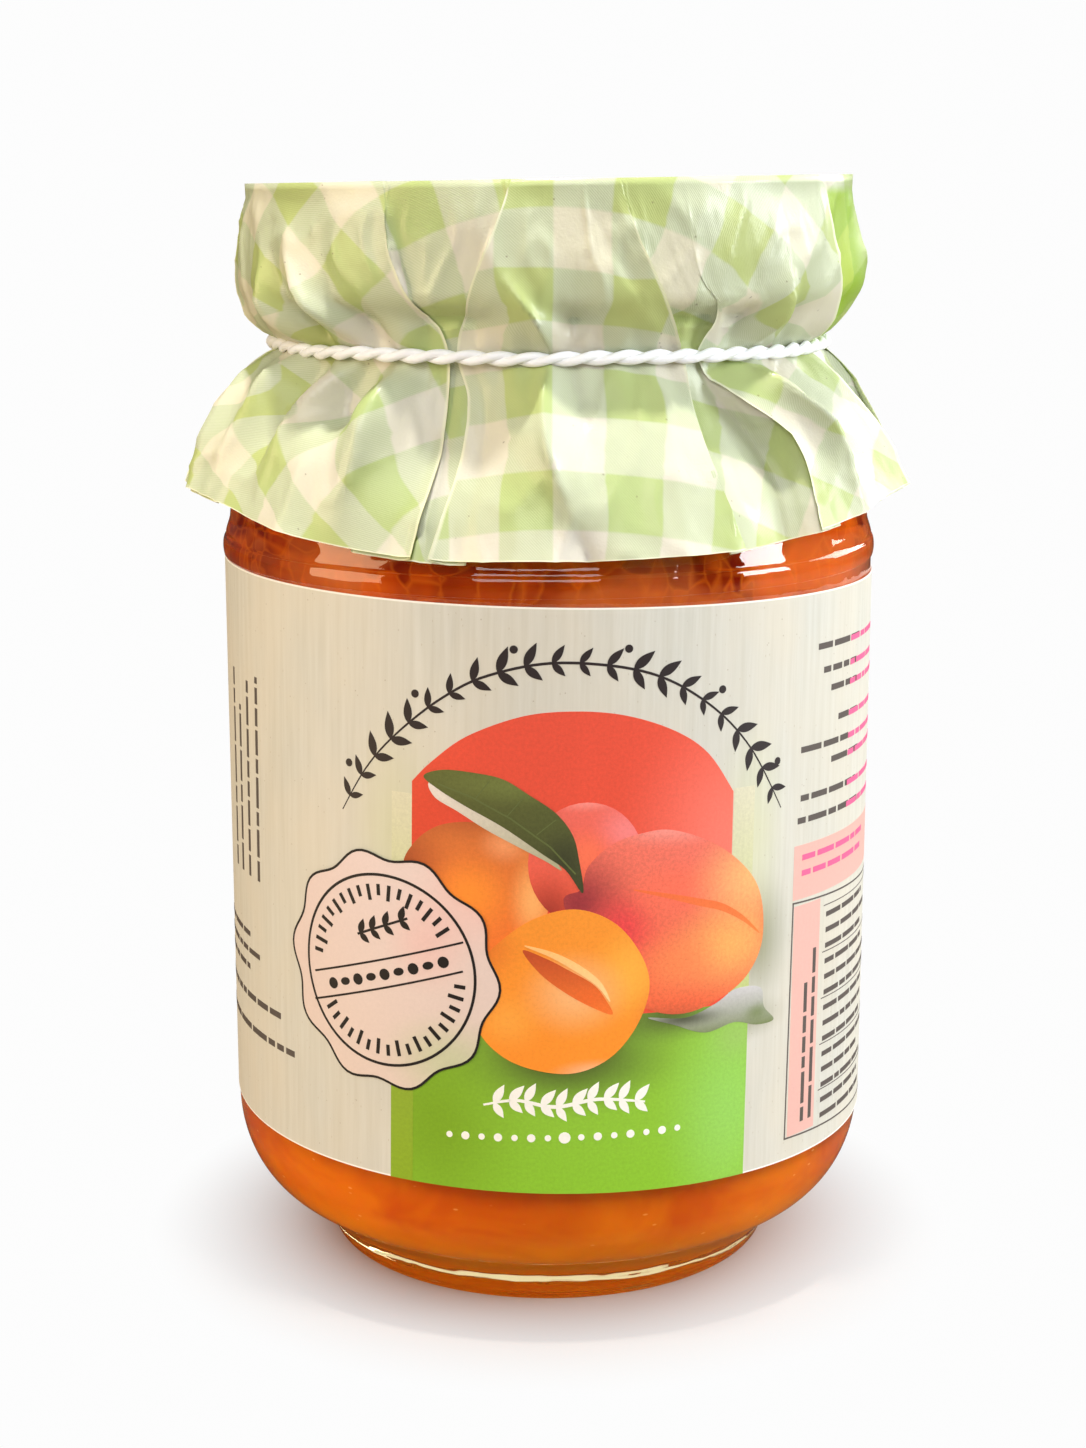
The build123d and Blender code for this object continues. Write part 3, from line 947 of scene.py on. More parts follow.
def next_ring(bm, ring):
    """Extrude a ring of verts and give the new verts in the same order."""
    grown = bmesh.ops.extrude_edge_only(bm, edges=ring_edges(bm, ring))["geom"]
    fresh = set(item for item in grown if isinstance(item, bmesh.types.BMVert))
    partners = []
    for old in ring:
        partners.append(next(e.other_vert(old) for e in old.link_edges if e.other_vert(old) in fresh))
    return partners


def crumpled(point, amount):
    """A point of the paper moved out or in by its small creases, in mm."""
    outward = Vector((point.x, point.y, 0)).normalized()
    seed = (outward * LID_RADIUS + Vector((0, 0, point.z * 0.55))) / CRUMPLE_SIZE
    broad = noise.noise(seed)
    ridge = 1 - 2 * abs(noise.noise(seed * 1.9 + Vector((7, 3, 1))))
    fine = 1 - 2 * abs(noise.noise(seed * 4.3 + Vector((1, 9, 4))))
    push = broad + 0.7 * ridge**3 + 0.25 * fine**3 - 0.25
    return point + outward * amount * max(push, CRUMPLE_INWARD)


folded = [folded_ring(level, radius, columns) for level, radius in zip(levels, radii)]
bm = bmesh.new()
crease_at = bm.verts.layers.float.new("crease")
bmesh.ops.create_circle(bm, segments=total_columns, radius=1.0, cap_ends=False)
bm.verts.ensure_lookup_table()
rings = [list(bm.verts)]
for level in levels[1:]:
    rings.append(next_ring(bm, rings[-1]))

flat_place = {}
for level, ring, (points, creases), radius in zip(levels, rings, folded, radii):
    lengths = [0.0]
    for i in range(total_columns):
        lengths.append(lengths[-1] + (points[(i + 1) % total_columns] - points[i]).length)
    turn = 2 * pi / lengths[-1]
    pairs = enumerate(zip(points, points[1:]))
    front = next(i for i, (a, b) in pairs if a.x <= 0 < b.x and a.y < 0)
    part = points[front].x / (points[front].x - points[front + 1].x)
    middle = lengths[front] + (lengths[front + 1] - lengths[front]) * part
    free = min(1.0, level.step / 0.15, 0.15 + abs(level.step - 1) / 0.2)
    for i in range(total_columns):
        angle = (lengths[i] - middle) * turn
        flat_place[ring[i]] = (radius * sin(angle), -radius * cos(angle))
        ring[i].co = crumpled(points[i], CRUMPLE * free) * MM
        ring[i][crease_at] = creases[i] * min(1.0, level.step / 0.06)

for before, after in zip(rings, rings[1:]):
    for low_vert, high_vert in zip(before, after):
        if min(low_vert[crease_at], high_vert[crease_at]) > SHARP_CREASE:
            bm.edges.get((low_vert, high_vert)).smooth = False
for edge in ring_edges(bm, rings[-1]):
    edge.smooth = False
print("folded sheet:", len(rings), "rings of", total_columns)

# %% [markdown]
# The middle of the sheet lies on the lid. Its rings shrink towards the middle, and it keeps a
# slight pucker where the gathers begin.

# %% Top of the sheet
TOP_RINGS = 7
PUCKER = 0.35
ring = rings[0]
for number in range(1, TOP_RINGS):
    ring = next_ring(bm, ring)
    share = 1 - number / TOP_RINGS
    for start, vert in zip(rings[0], ring):
        flat = flat_place[start]
        place = Vector((flat[0], flat[1], 0)) * share
        swell = noise.noise(place / 9.0) * PUCKER * share + RIM_TILT * place.x / LID_RADIUS
        vert.co = Vector((place.x, place.y, COVER_TOP + PUFF - 0.1 + swell)) * MM
        flat_place[vert] = (place.x, place.y)
cap = bmesh.ops.contextual_create(bm, geom=ring_edges(bm, ring))["faces"]
for vert in bmesh.ops.poke(bm, faces=cap)["verts"]:
    flat_place[vert] = (0.0, 0.0)

flat_map = bm.loops.layers.uv.new("UVMap")
for face in bm.faces:
    for loop in face.loops:
        loop[flat_map].uv = flat_place[loop.vert]
bmesh.ops.recalc_face_normals(bm, faces=bm.faces)
print("cover sheet:", len(bm.faces), "faces")

# %% [markdown]
# The print is a faint check of two sets of stripes: bare paper where neither falls, pale green
# with a fine twill hatch where one does, and full green where both do. The paper is waxed, so it
# shines softly, and thin enough for light to come through it from behind. To the right of the
# lid one panel beside a crest stands clear of the others, and the light behind it is painted
# into its colour as a lime glow. The cut edge and the crests are painted white, partly as wear
# and partly as a painted highlight where the edges catch the light.

# %% Paper cover finish
CHECK = 11.6
ACROSS_SHIFT = 100.715
DOWN_SHIFT = 100.25
STRIPE_HALF = 0.25
STRIPE_SOFT = 0.012
TWILL_PER_MM = 3.3
EDGE_LINE = 0.16
SEE_THROUGH = 0.35
BACKLIGHT_LIME = colour(222, 252, 104)
waxed = Finish("waxed_check_paper", colour(240, 240, 222), 0.33, Coat_Weight=0.3, Coat_Roughness=0.16)
flat = waxed.map_place()
across, down, _ = waxed.split(flat)


def stripe(place, shift):
    """1 inside a stripe of the print and 0 beside it."""
    turn = waxed.math("FRACT", waxed.plus(waxed.math("DIVIDE", place, CHECK), shift))
    inside, outside = STRIPE_HALF - STRIPE_SOFT, STRIPE_HALF + STRIPE_SOFT
    return waxed.band(waxed.off_middle(turn), inside, outside, 1.0, 0.0)


one = stripe(across, ACROSS_SHIFT)
two = stripe(down, DOWN_SHIFT)
both = waxed.times(one, two)
either = waxed.math("MAXIMUM", one, two)
twill = waxed.math("FRACT", waxed.times(waxed.plus(across, down), TWILL_PER_MM))
hatch = waxed.band(waxed.off_middle(twill), 0.1, 0.4)
tone = waxed.noise(waxed.object_place(), 30.0, 2.0)
warmth = waxed.band(tone, 0.38, 0.62)
bare = waxed.mix(warmth, colour(241, 236, 234), colour(242, 236, 222))
pale = waxed.mix(hatch, colour(228, 232, 212), colour(216, 223, 192))
strong = waxed.mix(warmth, colour(203, 220, 158), colour(210, 220, 150))
print_colour = waxed.mix(both, waxed.mix(either, bare, pale), strong)

# Painted backlight: a panel beside one crest right of the lid has its print tinted lime, for the light
# shining through it from behind.
x, y, z = waxed.split(waxed.object_place())
around = waxed.math("ARCTAN2", x, waxed.times(y, -1.0))
low, high = (CORD_HEIGHT + 2) * MM, (COVER_TOP - 1) * MM
crest_line = waxed.band(z, low, high, radians(66), radians(60.5))
past_crest = waxed.math("SUBTRACT", around, crest_line)
beside = waxed.band(past_crest, radians(-0.4), radians(0.8))
fading = waxed.band(around, radians(77), radians(98), 0.9, 0.0)
raised = waxed.band(z, CORD_HEIGHT * MM, (CORD_HEIGHT + 1) * MM)
under_top = waxed.band(z, (COVER_TOP - 1.2) * MM, (COVER_TOP - 0.3) * MM, 1.0, 0.0)
painted_backlight_panel = waxed.times(waxed.times(beside, fading), waxed.times(raised, under_top))
lit_through = waxed.mix(1.0, print_colour, BACKLIGHT_LIME, "MULTIPLY")
print_colour = waxed.mix(painted_backlight_panel, print_colour, lit_through)

specks = waxed.spots(flat, 0.42)
print_colour = waxed.over(print_colour, specks, 0.025, 0.06, 0.5, colour(130, 122, 74))
# Partly wear, partly painted highlight: the cut edge and the crests are painted near-white, where the
# paper creases and its edges catch the light.
from_center = waxed.add("VectorMath", {0: flat}, operation="LENGTH").outputs["Value"]
cut_edge = waxed.band(from_center, SHEET_RADIUS - EDGE_LINE, SHEET_RADIUS - EDGE_LINE / 2)
crease = waxed.add("Attribute", {}, attribute_name="crease").outputs["Fac"]
worn_and_lit_edge = waxed.math("MAXIMUM", cut_edge, waxed.band(crease, 0.5, 0.8, 0.0, 0.9))
print_colour = waxed.mix(worn_and_lit_edge, print_colour, colour(253, 250, 236))
grain = waxed.noise(flat, 3.2, 3.0, 0.6)
polish = waxed.band(grain, 0.3, 0.7, 0.28, 0.44)
waxed.set(waxed.shader, {"Base Color": print_colour, "Roughness": polish})
tooth = waxed.times(waxed.times(hatch, either), 0.3)
waxed.bump(waxed.plus(grain, tooth), 0.2, 0.0002)
shine_through = waxed.mix(1.0, print_colour, colour(232, 246, 160), "MULTIPLY")
backlit = waxed.add("BsdfTranslucent", {"Color": shine_through}).outputs[0]
paper_shader = waxed.mix_shaders(SEE_THROUGH, waxed.shader.outputs[0], backlit)
waxed.set(waxed.output, {"Surface": paper_shader})

PAPER = 0.06
cover = finished("gathered_paper", bm, waxed.material, "cover_paper", "paper_cover")
thickness = cover.modifiers.new("paper", "SOLIDIFY")
thickness.thickness = PAPER * MM
thickness.offset = -1

# %% [markdown]
# ## The tie cord
# The cord is two white plies twisted round each other. Each ply is a fine tube along a helix that
# runs round the neck, so the twist is real shape and catches light on every turn. The cord lies a
# little unevenly, as it does over gathered paper.

# %% Cord plies
TWIST_PITCH = 6.4
PLY_RADIUS = 0.47
PLY_OFFSET = 0.30
LOOSE_OUT = 0.12
LOOSE_UP = 0.5
CORD_LINE = CORD_RADIUS - CORD_DIAMETER / 2
POINTS_PER_TWIST = 24

twists = round(2 * pi * CORD_LINE / TWIST_PITCH)
fibre = Finish("white_cord", colour(240, 244, 255), 0.42, Sheen_Weight=0.3)
strands = fibre.noise(fibre.scale(fibre.object_place(), (1.0, 1.0, 3.0)), 1400.0, 3.0)
cotton = fibre.mix(strands, colour(238, 243, 255), colour(252, 254, 255))
fibre.set(fibre.shader, {"Base Color": cotton})
fibre.bump(strands, 0.4, 0.0002)

plies = []
for ply in range(2):
    path = bpy.data.curves.new(f"ply_{ply}", "CURVE")
    path.dimensions = "3D"
    path.bevel_depth = PLY_RADIUS * MM
    path.bevel_resolution = 3
    line = path.splines.new("POLY")
    steps = twists * POINTS_PER_TWIST
    line.points.add(steps - 1)
    line.use_cyclic_u = True
    for number in range(steps):
        around = 2 * pi * number / steps
        twist = around * twists + pi * ply
        loose = noise.noise(Vector((cos(around) * 2.2, sin(around) * 2.2, 4.0)))
        radius = CORD_LINE + LOOSE_OUT * loose + PLY_OFFSET * cos(twist)
        height = CORD_HEIGHT + LOOSE_UP * loose * cos(3 * around) + PLY_OFFSET * sin(twist)
        x, y = radius * sin(around), -radius * cos(around)
        line.points[number].co = (x * MM, y * MM, height * MM, 1)
    holder = bpy.data.objects.new(f"ply_{ply}", path)
    SCENE.collection.objects.link(holder)
    plies.append(holder)

bm = bmesh.new()
for holder in plies:
    placed = holder.evaluated_get(bpy.context.evaluated_depsgraph_get())
    tube = bpy.data.meshes.new_from_object(placed)
    bm.from_mesh(tube)
    bpy.data.meshes.remove(tube)
    bpy.data.objects.remove(holder)
bmesh.ops.remove_doubles(bm, verts=bm.verts, dist=1e-7)
bmesh.ops.recalc_face_normals(bm, faces=bm.faces)
finished("twisted_cord", bm, fibre.material, "cord", "tie_cord")
print(twists, "twists round the neck")

# %% [markdown]
# ## The label
# A label is printed flat and then rolled round the jar, so it is made that way here too. Every
# printed shape is drawn on a flat sheet in millimetres, u to the right and v up from the label's
# middle, and one helper slices it into narrow upright strips and rolls it on. Each print layer
# lies a hair above the one beneath it and reaches down into the paper. The flat places stay in
# the UV map, so inks can be shaded in the same millimetres.

# %% Rolling flat shapes onto the jar
LABEL_SLANT = radians(1.0)
LABEL_TALL = 61.4
LABEL_PAPER = 0.12
LABEL_SEAM = 4.0
LABEL_LENGTH = 2 * pi * LABEL_RADIUS - LABEL_SEAM
STRIP = 1.2
PRINT_STEP = 0.012
PRINT_DEPTH = 0.04
SHARP_RIM = radians(40)


def rolled(u, v, radius):
    """A point of the flat label on the jar, in metres."""
    around = (u * cos(LABEL_SLANT) + v * sin(LABEL_SLANT)) / LABEL_RADIUS
    height = LABEL_MIDDLE - u * sin(LABEL_SLANT) + v * cos(LABEL_SLANT)
    return Vector((radius * sin(around), -radius * cos(around), height)) * MM


def roll_on(bm, radius, under_paper_shade):
    """Give a flat shape its map, roll it on and give it a body reaching inwards."""
    flat_map = bm.loops.layers.uv.new("UVMap")
    for face in bm.faces:
        for loop in face.loops:
            loop[flat_map].uv = loop.vert.co.xy
    for vert in bm.verts:
        vert.co = rolled(vert.co.x, vert.co.y, radius)
    bm.normal_update()
    inward = [f for f in bm.faces if f.normal.dot(f.calc_center_median() * Vector((1, 1, 0))) < 0]
    bmesh.ops.reverse_faces(bm, faces=inward)
    bmesh.ops.solidify(bm, geom=bm.faces[:], thickness=under_paper_shade * MM)
    for edge in bm.edges:
        edge.smooth = len(edge.link_faces) == 2 and edge.calc_face_angle() < SHARP_RIM


def printed(name, shapes, ink, layer):
    """Print flat shapes, each a closed outline in label millimetres, as one piece."""
    bm = bmesh.new()
    for points in shapes:
        verts = [bm.verts.new((u, v, 0)) for u, v in points]
        edges = [bm.edges.new((verts[i - 1], verts[i])) for i in range(len(verts))]
        bmesh.ops.triangle_fill(bm, edges=edges, use_beauty=True, normal=(0, 0, 1))
    cut = min(v.co.x for v in bm.verts) // STRIP * STRIP + STRIP
    end = max(v.co.x for v in bm.verts)
    while cut < end:
        geom = bm.verts[:] + bm.edges[:] + bm.faces[:]
        bmesh.ops.bisect_plane(bm, geom=geom, plane_co=(cut, 0, 0), plane_no=(1, 0, 0), dist=1e-5)
        cut += STRIP
    roll_on(bm, LABEL_RADIUS + layer * PRINT_STEP, PRINT_DEPTH)
    return finished(name, bm, ink, "label_paper")


# %% [markdown]
# Outlines come from a few kinds of drawing: ellipses, smooth curves through a handful of points,
# strokes of even width, boxes and leaves. A printer's artwork is drawn in much the same way. A
# line can also be walked in equal steps, so that what grows along it is evenly spaced.

# %% Drawing helpers
def ellipse(center, radii, turn=0.0, steps=40):
    """A closed ellipse, turned by some degrees."""
    points = []
    for step in range(steps):
        a = 2 * pi * step / steps
        u, v = radii[0] * cos(a), radii[1] * sin(a)
        c, s = cos(radians(turn)), sin(radians(turn))
        points.append((center[0] + u * c - v * s, center[1] + u * s + v * c))
    return points


def curve(points, closed=False, steps=6):
    """A smooth curve through points."""
    count = len(points)
    found = []
    for i in range(count if closed else count - 1):
        a = points[i - 1] if closed or i > 0 else points[i]
        b = points[i]
        c = points[(i + 1) % count]
        d = points[(i + 2) % count] if closed or i + 2 < count else c
        for step in range(steps):
            t = step / steps
            w = (-t + 2 * t**2 - t**3, 2 - 5 * t**2 + 3 * t**3, t + 4 * t**2 - 3 * t**3, t**3 - t**2)
            spot = [(w[0] * a[k] + w[1] * b[k] + w[2] * c[k] + w[3] * d[k]) / 2 for k in (0, 1)]
            found.append(tuple(spot))
    if not closed:
        found.append(points[-1])
    return found


def evenly(points, pitch):
    """Points at equal distances along a line."""
    found = []
    at = reach = 0.0
    for before, after in zip(points, points[1:]):
        size = hypot(after[0] - before[0], after[1] - before[1])
        while at <= reach + size:
            found.append(tuple(blend(before, after, (at - reach) / size)))
            at += pitch
        reach += size
    return found


def stroke(points, width, ends=None):
    """The outline of a line of some width. ends is the width at its two ends."""
    left, right = [], []
    last = len(points) - 1
    for i, (u, v) in enumerate(points):
        before, after = points[max(i - 1, 0)], points[min(i + 1, last)]
        du, dv = after[0] - before[0], after[1] - before[1]
        size = hypot(du, dv) or 1.0
        half = width / 2
        if ends is not None:
            half = (ends + (width - ends) * sin(pi * i / last)) / 2
        left.append((u - dv / size * half, v + du / size * half))
        right.append((u + dv / size * half, v - du / size * half))
    return left + right[::-1]


def shape(*points):
    """A smooth closed outline through points."""
    return curve(points, closed=True)


def box(left, right, low, high):
    return [(left, low), (right, low), (right, high), (left, high)]


def ring_strokes(center, radius, width, pieces=4, steps=24):
    """A circle line, as separate arcs so that each is a simple outline."""
    arcs = []
    for piece in range(pieces):
        points = []
        for step in range(steps + 1):
            a = 2 * pi * (piece + step / steps) / pieces
            points.append((center[0] + radius * cos(a), center[1] + radius * sin(a)))
        arcs.append(stroke(points, width))
    return arcs


def leaf_shape(base, length, width, turn, steps=10):
    """A pointed leaf that grows from base in the direction turn, in degrees."""
    c, s = cos(radians(turn)), sin(radians(turn))
    points = []
    for side in (1, -1):
        for step in range(steps):
            t = step / steps if side == 1 else 1 - step / steps
            across = side * width / 2 * sin(pi * t**0.8)
            points.append((base[0] + length * t * c - across * s, base[1] + length * t * s + across * c))
    return points


# %% [markdown]
# Label paper is uncoated and ribbed, with upright laid lines, a few darker fibres and specks. The
# inks lie on the same ribs. An ink blends from one colour at its foot to another at its head, and
# soft round patches of other colours can be laid over it, which is all that shading needs.

# %% Inks and the label's paper
def ribs(finish, place):
    """The laid lines of the label's paper, as a height."""
    return finish.noise(finish.scale(place, (1.35, 0.05, 1.0)), 1.0, 3.0, 0.65)


def patches(finish, place, base, blobs):
    """Lay soft patches over a colour. Each is (center, radii, colour, amount)."""
    for center, radii, tint, amount in blobs:
        shift = (-center[0] / radii[0], -center[1] / radii[1], 0)
        inputs = {"Vector": place, "Location": shift, "Scale": (1 / radii[0], 1 / radii[1], 1)}
        near = finish.add("Mapping", inputs, vector_type="POINT").outputs[0]
        far = finish.add("VectorMath", {0: near}, operation="LENGTH").outputs["Value"]
        share = finish.add("MapRange", {0: far, 1: 0.0, 2: 1.0, 3: amount, 4: 0.0})
        share.interpolation_type = "SMOOTHSTEP"
        base = finish.mix(share.outputs[0], base, colour(*tint))
    return base


def ink(name, foot, head, low, high, blobs=(), mottle=0.08, roughness=0.55):
    """A printed colour from foot at height low to head at height high, in label millimetres."""
    finish = Finish(name, (0.5, 0.5, 0.5, 1), roughness)
    place = finish.map_place()
    up = finish.band(finish.split(place)[1], low, high)
    base = patches(finish, place, finish.mix(up, colour(*foot), colour(*head)), blobs)
    speckle = finish.noise(place, 2.6, 4.0, 0.75)
    shade = finish.band(speckle, 0.3, 0.7, 1 - mottle, 1 + mottle)
    grey = finish.add("CombineXYZ", {0: shade, 1: shade, 2: shade}).outputs[0]
    finish.set(finish.shader, {"Base Color": finish.mix(1.0, base, grey, "MULTIPLY")})
    finish.bump(finish.plus(ribs(finish, place), speckle), 0.16, 0.00012)
    return finish.material


def plain_ink(name, red, green, blue):
    return ink(name, (red, green, blue), (red, green, blue), -30, 30, mottle=0.03)


kraft = Finish("label_stock", colour(240, 236, 220), 0.7)
place = kraft.map_place()
laid = ribs(kraft, place)
clouds = kraft.noise(kraft.scale(place, (0.09, 0.05, 1.0)), 1.0, 3.0, 0.5)
base = kraft.mix(kraft.band(laid, 0.3, 0.7), colour(203, 202, 191), colour(215, 215, 207))
base = kraft.mix(kraft.band(clouds, 0.35, 0.65, 0.0, 0.5), base, colour(221, 213, 195))
SHADOWS_ON_PAPER = (
    ((23.5, -5.0), (5.5, 9.0), (150, 152, 122), 0.9),
    ((22.0, -13.5), (7.0, 3.0), (150, 152, 122), 0.7),
    ((-16.0, 6.0), (7.0, 15.0), (206, 208, 156), 0.5),
    ((22.0, 6.0), (6.0, 15.0), (212, 218, 168), 0.5),
)
base = patches(kraft, place, base, SHADOWS_ON_PAPER)
fibres = kraft.spots(kraft.scale(place, (1.6, 0.5, 1.0)), 1.0)
base = kraft.over(base, fibres, 0.03, 0.08, 0.5, colour(160, 140, 100))
specks = kraft.spots(place, 0.7)
base = kraft.over(base, specks, 0.03, 0.07, 0.45, colour(140, 120, 90))
from_middle = kraft.math("ABSOLUTE", kraft.split(place)[1])
cut_edge = kraft.band(from_middle, LABEL_TALL / 2 - 0.22, LABEL_TALL / 2 - 0.12)
base = kraft.mix(cut_edge, base, colour(252, 250, 244))
kraft.set(kraft.shader, {"Base Color": base})
kraft.bump(laid, 0.24, 0.00014)

bm = bmesh.new()
bmesh.ops.create_grid(bm, x_segments=200, y_segments=4, size=0.5)
bmesh.ops.scale(bm, vec=(LABEL_LENGTH, LABEL_TALL, 1), verts=bm.verts)
roll_on(bm, LABEL_RADIUS, LABEL_PAPER)
finished("label_sheet", bm, kraft.material, "label_paper", "label")

# %% [markdown]
# ## The label's picture
# A red arch over a green panel, with pale green strips beside them, and four apricots in front:
# one cut in half, with the hollow where its stone was. Words in the artwork are left out. A
# garland of leaves takes the place of the arched title, and a white twig that of the name.

# %% Background of the picture
ARCH_LEFT, ARCH_RIGHT = -14.4, 19.7
PANEL_LEFT, PANEL_RIGHT = -16.7, 22.4
PANEL_TOP = -13.2
ARCH_FOOT = -11.4
EDGE = LABEL_TALL / 2

strip_ink = ink("strip_green", (190, 206, 122), (220, 216, 190), -13, 12)
left_strip = box(PANEL_LEFT, ARCH_LEFT, PANEL_TOP, 11)
right_strip = box(ARCH_RIGHT, PANEL_RIGHT, PANEL_TOP, 11.5)
printed("strips", [left_strip, right_strip], strip_ink, 1)

green_patches = (
    ((2.0, -16.0), (15.0, 7.0), (74, 88, 34), 0.95),
    ((13.0, -12.0), (10.0, 3.5), (84, 98, 44), 0.9),
    ((-12.0, -24.0), (12.0, 16.0), (122, 168, 14), 0.9),
    ((20.0, -23.0), (9.0, 16.0), (150, 212, 92), 0.9),
    ((21.0, -15.0), (5.0, 4.0), (158, 196, 104), 0.6),
)
panel_ink = ink("panel_green", (140, 200, 40), (144, 196, 54), -31, -15, green_patches)
panel = [
    (PANEL_LEFT, -EDGE), (PANEL_RIGHT, -EDGE), (PANEL_RIGHT, PANEL_TOP), (ARCH_RIGHT, PANEL_TOP),
    (ARCH_RIGHT, ARCH_FOOT), (ARCH_LEFT, ARCH_FOOT), (ARCH_LEFT, PANEL_TOP), (PANEL_LEFT, PANEL_TOP),
]
printed("green_panel", [panel], panel_ink, 1)
side_ink = ink("panel_strip_green", (140, 176, 24), (146, 176, 50), -31, -14)
side_strip = box(PANEL_LEFT, ARCH_LEFT + 0.3, -EDGE, PANEL_TOP)
printed("green_strip", [side_strip], side_ink, 2)

arch_top = curve([
    (19.6, 11.2), (16.5, 15.4), (12.7, 18.0), (7.5, 19.8), (2.3, 20.3),
    (-3.0, 19.7), (-8.6, 17.4), (-12.3, 14.5), (-14.4, 12.3),
])
red_patches = (
    ((19.0, 6.0), (14.0, 18.0), (252, 122, 104), 0.9),
    ((-15.0, 5.0), (12.0, 18.0), (212, 66, 34), 0.7),
    ((2.0, 6.0), (9.0, 6.0), (206, 62, 44), 0.5),
)
arch_ink = ink("arch_red", (236, 78, 50), (232, 80, 56), -13, 20, red_patches)
arch = arch_top + [(ARCH_LEFT, ARCH_FOOT), (ARCH_RIGHT, ARCH_FOOT)]
printed("red_arch", [arch], arch_ink, 2)

# %% [markdown]
# Each fruit is a rounded outline whose ink does the modelling: a dark side, a glowing middle and
# a pale rim. A crease and the stone's hollow are shapes of their own.

# %% Fruit
back_left = shape(
    (-15.4, 2.8), (-14.2, 5.8), (-11.6, 7.9), (-8.2, 8.6), (-4.6, 8.0), (-1.7, 5.7),
    (-0.4, 3.1), (-0.1, -0.3), (-2.0, -4.5), (-8.0, -6.0), (-14.0, -3.5),
)
back_left_ink = ink(
    "apricot_left", (250, 124, 36), (214, 116, 50), -6, 8,
    (
        ((-16.5, 3.5), (8.0, 9.0), (158, 66, 26), 0.9),
        ((-9.5, 10.0), (10.0, 4.2), (176, 82, 36), 0.9),
        ((-8.0, 1.0), (5.6, 5.2), (255, 146, 42), 0.95),
        ((-1.6, 0.8), (3.0, 6.0), (255, 180, 104), 0.95),
        ((-4.5, 6.5), (3.4, 2.6), (250, 166, 110), 0.7),
        ((-2.0, -6.0), (6.0, 3.0), (230, 104, 28), 0.7),
    ),
)
back_middle = ellipse((3.7, 4.6), (5.9, 6.4))
back_middle_ink = ink(
    "apricot_back", (236, 84, 48), (238, 106, 92), -2, 10,
    (
        ((8.0, 8.0), (4.5, 4.0), (252, 140, 140), 0.8),
        ((3.6, 5.6), (4.0, 3.4), (255, 122, 82), 0.7),
        ((0.0, -1.5), (4.5, 6.5), (150, 40, 30), 0.9),
        ((3.4, 11.2), (5.0, 1.4), (250, 160, 150), 0.7),
    ),
)
right_fruit = shape(
    (1.5, 0.3), (3.2, 2.0), (3.9, 4.4), (6.4, 6.7), (9.6, 7.7), (12.6, 7.8), (16.8, 6.3),
    (20.3, 4.0), (22.9, 1.2), (24.0, -2.0), (23.9, -5.8), (22.0, -8.8), (18.7, -10.7),
    (14.5, -11.8), (10.5, -11.0), (6.0, -8.0),
)
right_ink = ink(
    "apricot_right", (240, 102, 56), (240, 116, 98), -12, 8,
    (
        ((3.0, 0.5), (7.5, 7.5), (150, 40, 52), 0.95),
        ((7.5, -2.5), (5.0, 5.5), (232, 60, 68), 0.9),
        ((13.0, 8.6), (10.0, 3.0), (250, 156, 144), 0.95),
        ((14.0, 1.6), (7.5, 3.6), (255, 112, 84), 0.9),
        ((22.0, 1.8), (8.5, 7.0), (255, 180, 112), 0.95),
        ((20.0, -5.0), (9.5, 6.6), (255, 172, 92), 0.98),
        ((13.5, -6.5), (6.5, 4.5), (255, 136, 78), 0.8),
        ((12.0, -13.4), (11.0, 3.6), (176, 78, 50), 0.95),
        ((26.0, -3.0), (3.2, 9.0), (212, 112, 60), 0.8),
    ),
    mottle=0.16,
)
front_half = shape(
    (-7.0, -6.2), (-4.6, -3.4), (-1.6, -1.2), (2.0, -0.1), (5.1, -0.7), (7.8, -2.6),
    (10.0, -6.0), (10.5, -9.2), (9.1, -13.0), (6.5, -16.0), (3.0, -17.5), (-0.8, -17.3),
    (-4.4, -16.0), (-7.0, -13.4), (-7.8, -9.8),
)
front_ink = ink(
    "apricot_half", (255, 148, 34), (246, 150, 42), -17, 0,
    (
        ((-7.5, -4.5), (6.0, 4.4), (226, 112, 28), 0.85),
        ((10.6, -11.5), (2.4, 6.0), (238, 128, 36), 0.7),
        ((8.5, -7.0), (5.0, 6.0), (255, 182, 66), 0.8),
        ((-4.0, -12.0), (4.5, 4.0), (255, 172, 66), 0.7),
        ((2.8, -9.0), (6.6, 5.4), (252, 186, 122), 0.95),
        ((5.6, -17.6), (6.0, 1.8), (255, 200, 160), 0.8),
    ),
)
pit = shape(
    (-2.6, -4.5), (-0.2, -5.3), (2.1, -6.5), (4.6, -8.0), (5.9, -9.6), (6.7, -11.3),
    (4.4, -10.4), (1.8, -8.9), (-0.8, -6.9),
)
pit_ink = ink(
    "stone_hollow", (246, 118, 38), (196, 76, 26), -11, -5,
    (((4.2, -9.4), (2.6, 1.6), (240, 106, 34), 0.8),),
)
glint_line = curve([(-2.4, -4.0), (0.4, -4.9), (3.0, -6.3), (5.2, -8.0), (6.4, -9.9)])
glint = stroke(glint_line, 0.75, 0.1)
glint_ink = ink("hollow_rim", (255, 214, 150), (255, 196, 120), -10, -4)
crease_line = curve([(8.6, 1.8), (12.4, 0.9), (16.0, -0.1), (18.6, -0.9), (21.2, -2.4), (23.6, -4.4)])
crease = stroke(crease_line, 0.8, 0.1)
crease_ink = ink("fruit_crease", (240, 128, 52), (244, 112, 58), -4, 1)

printed("fruit_left", [back_left], back_left_ink, 3)
printed("fruit_back", [back_middle], back_middle_ink, 4)
printed("fruit_right", [right_fruit], right_ink, 5)
printed("fruit_crease", [crease], crease_ink, 6)
printed("fruit_half", [front_half], front_ink, 7)
printed("stone_hollow", [pit], pit_ink, 8)
printed("hollow_rim", [glint], glint_ink, 9)

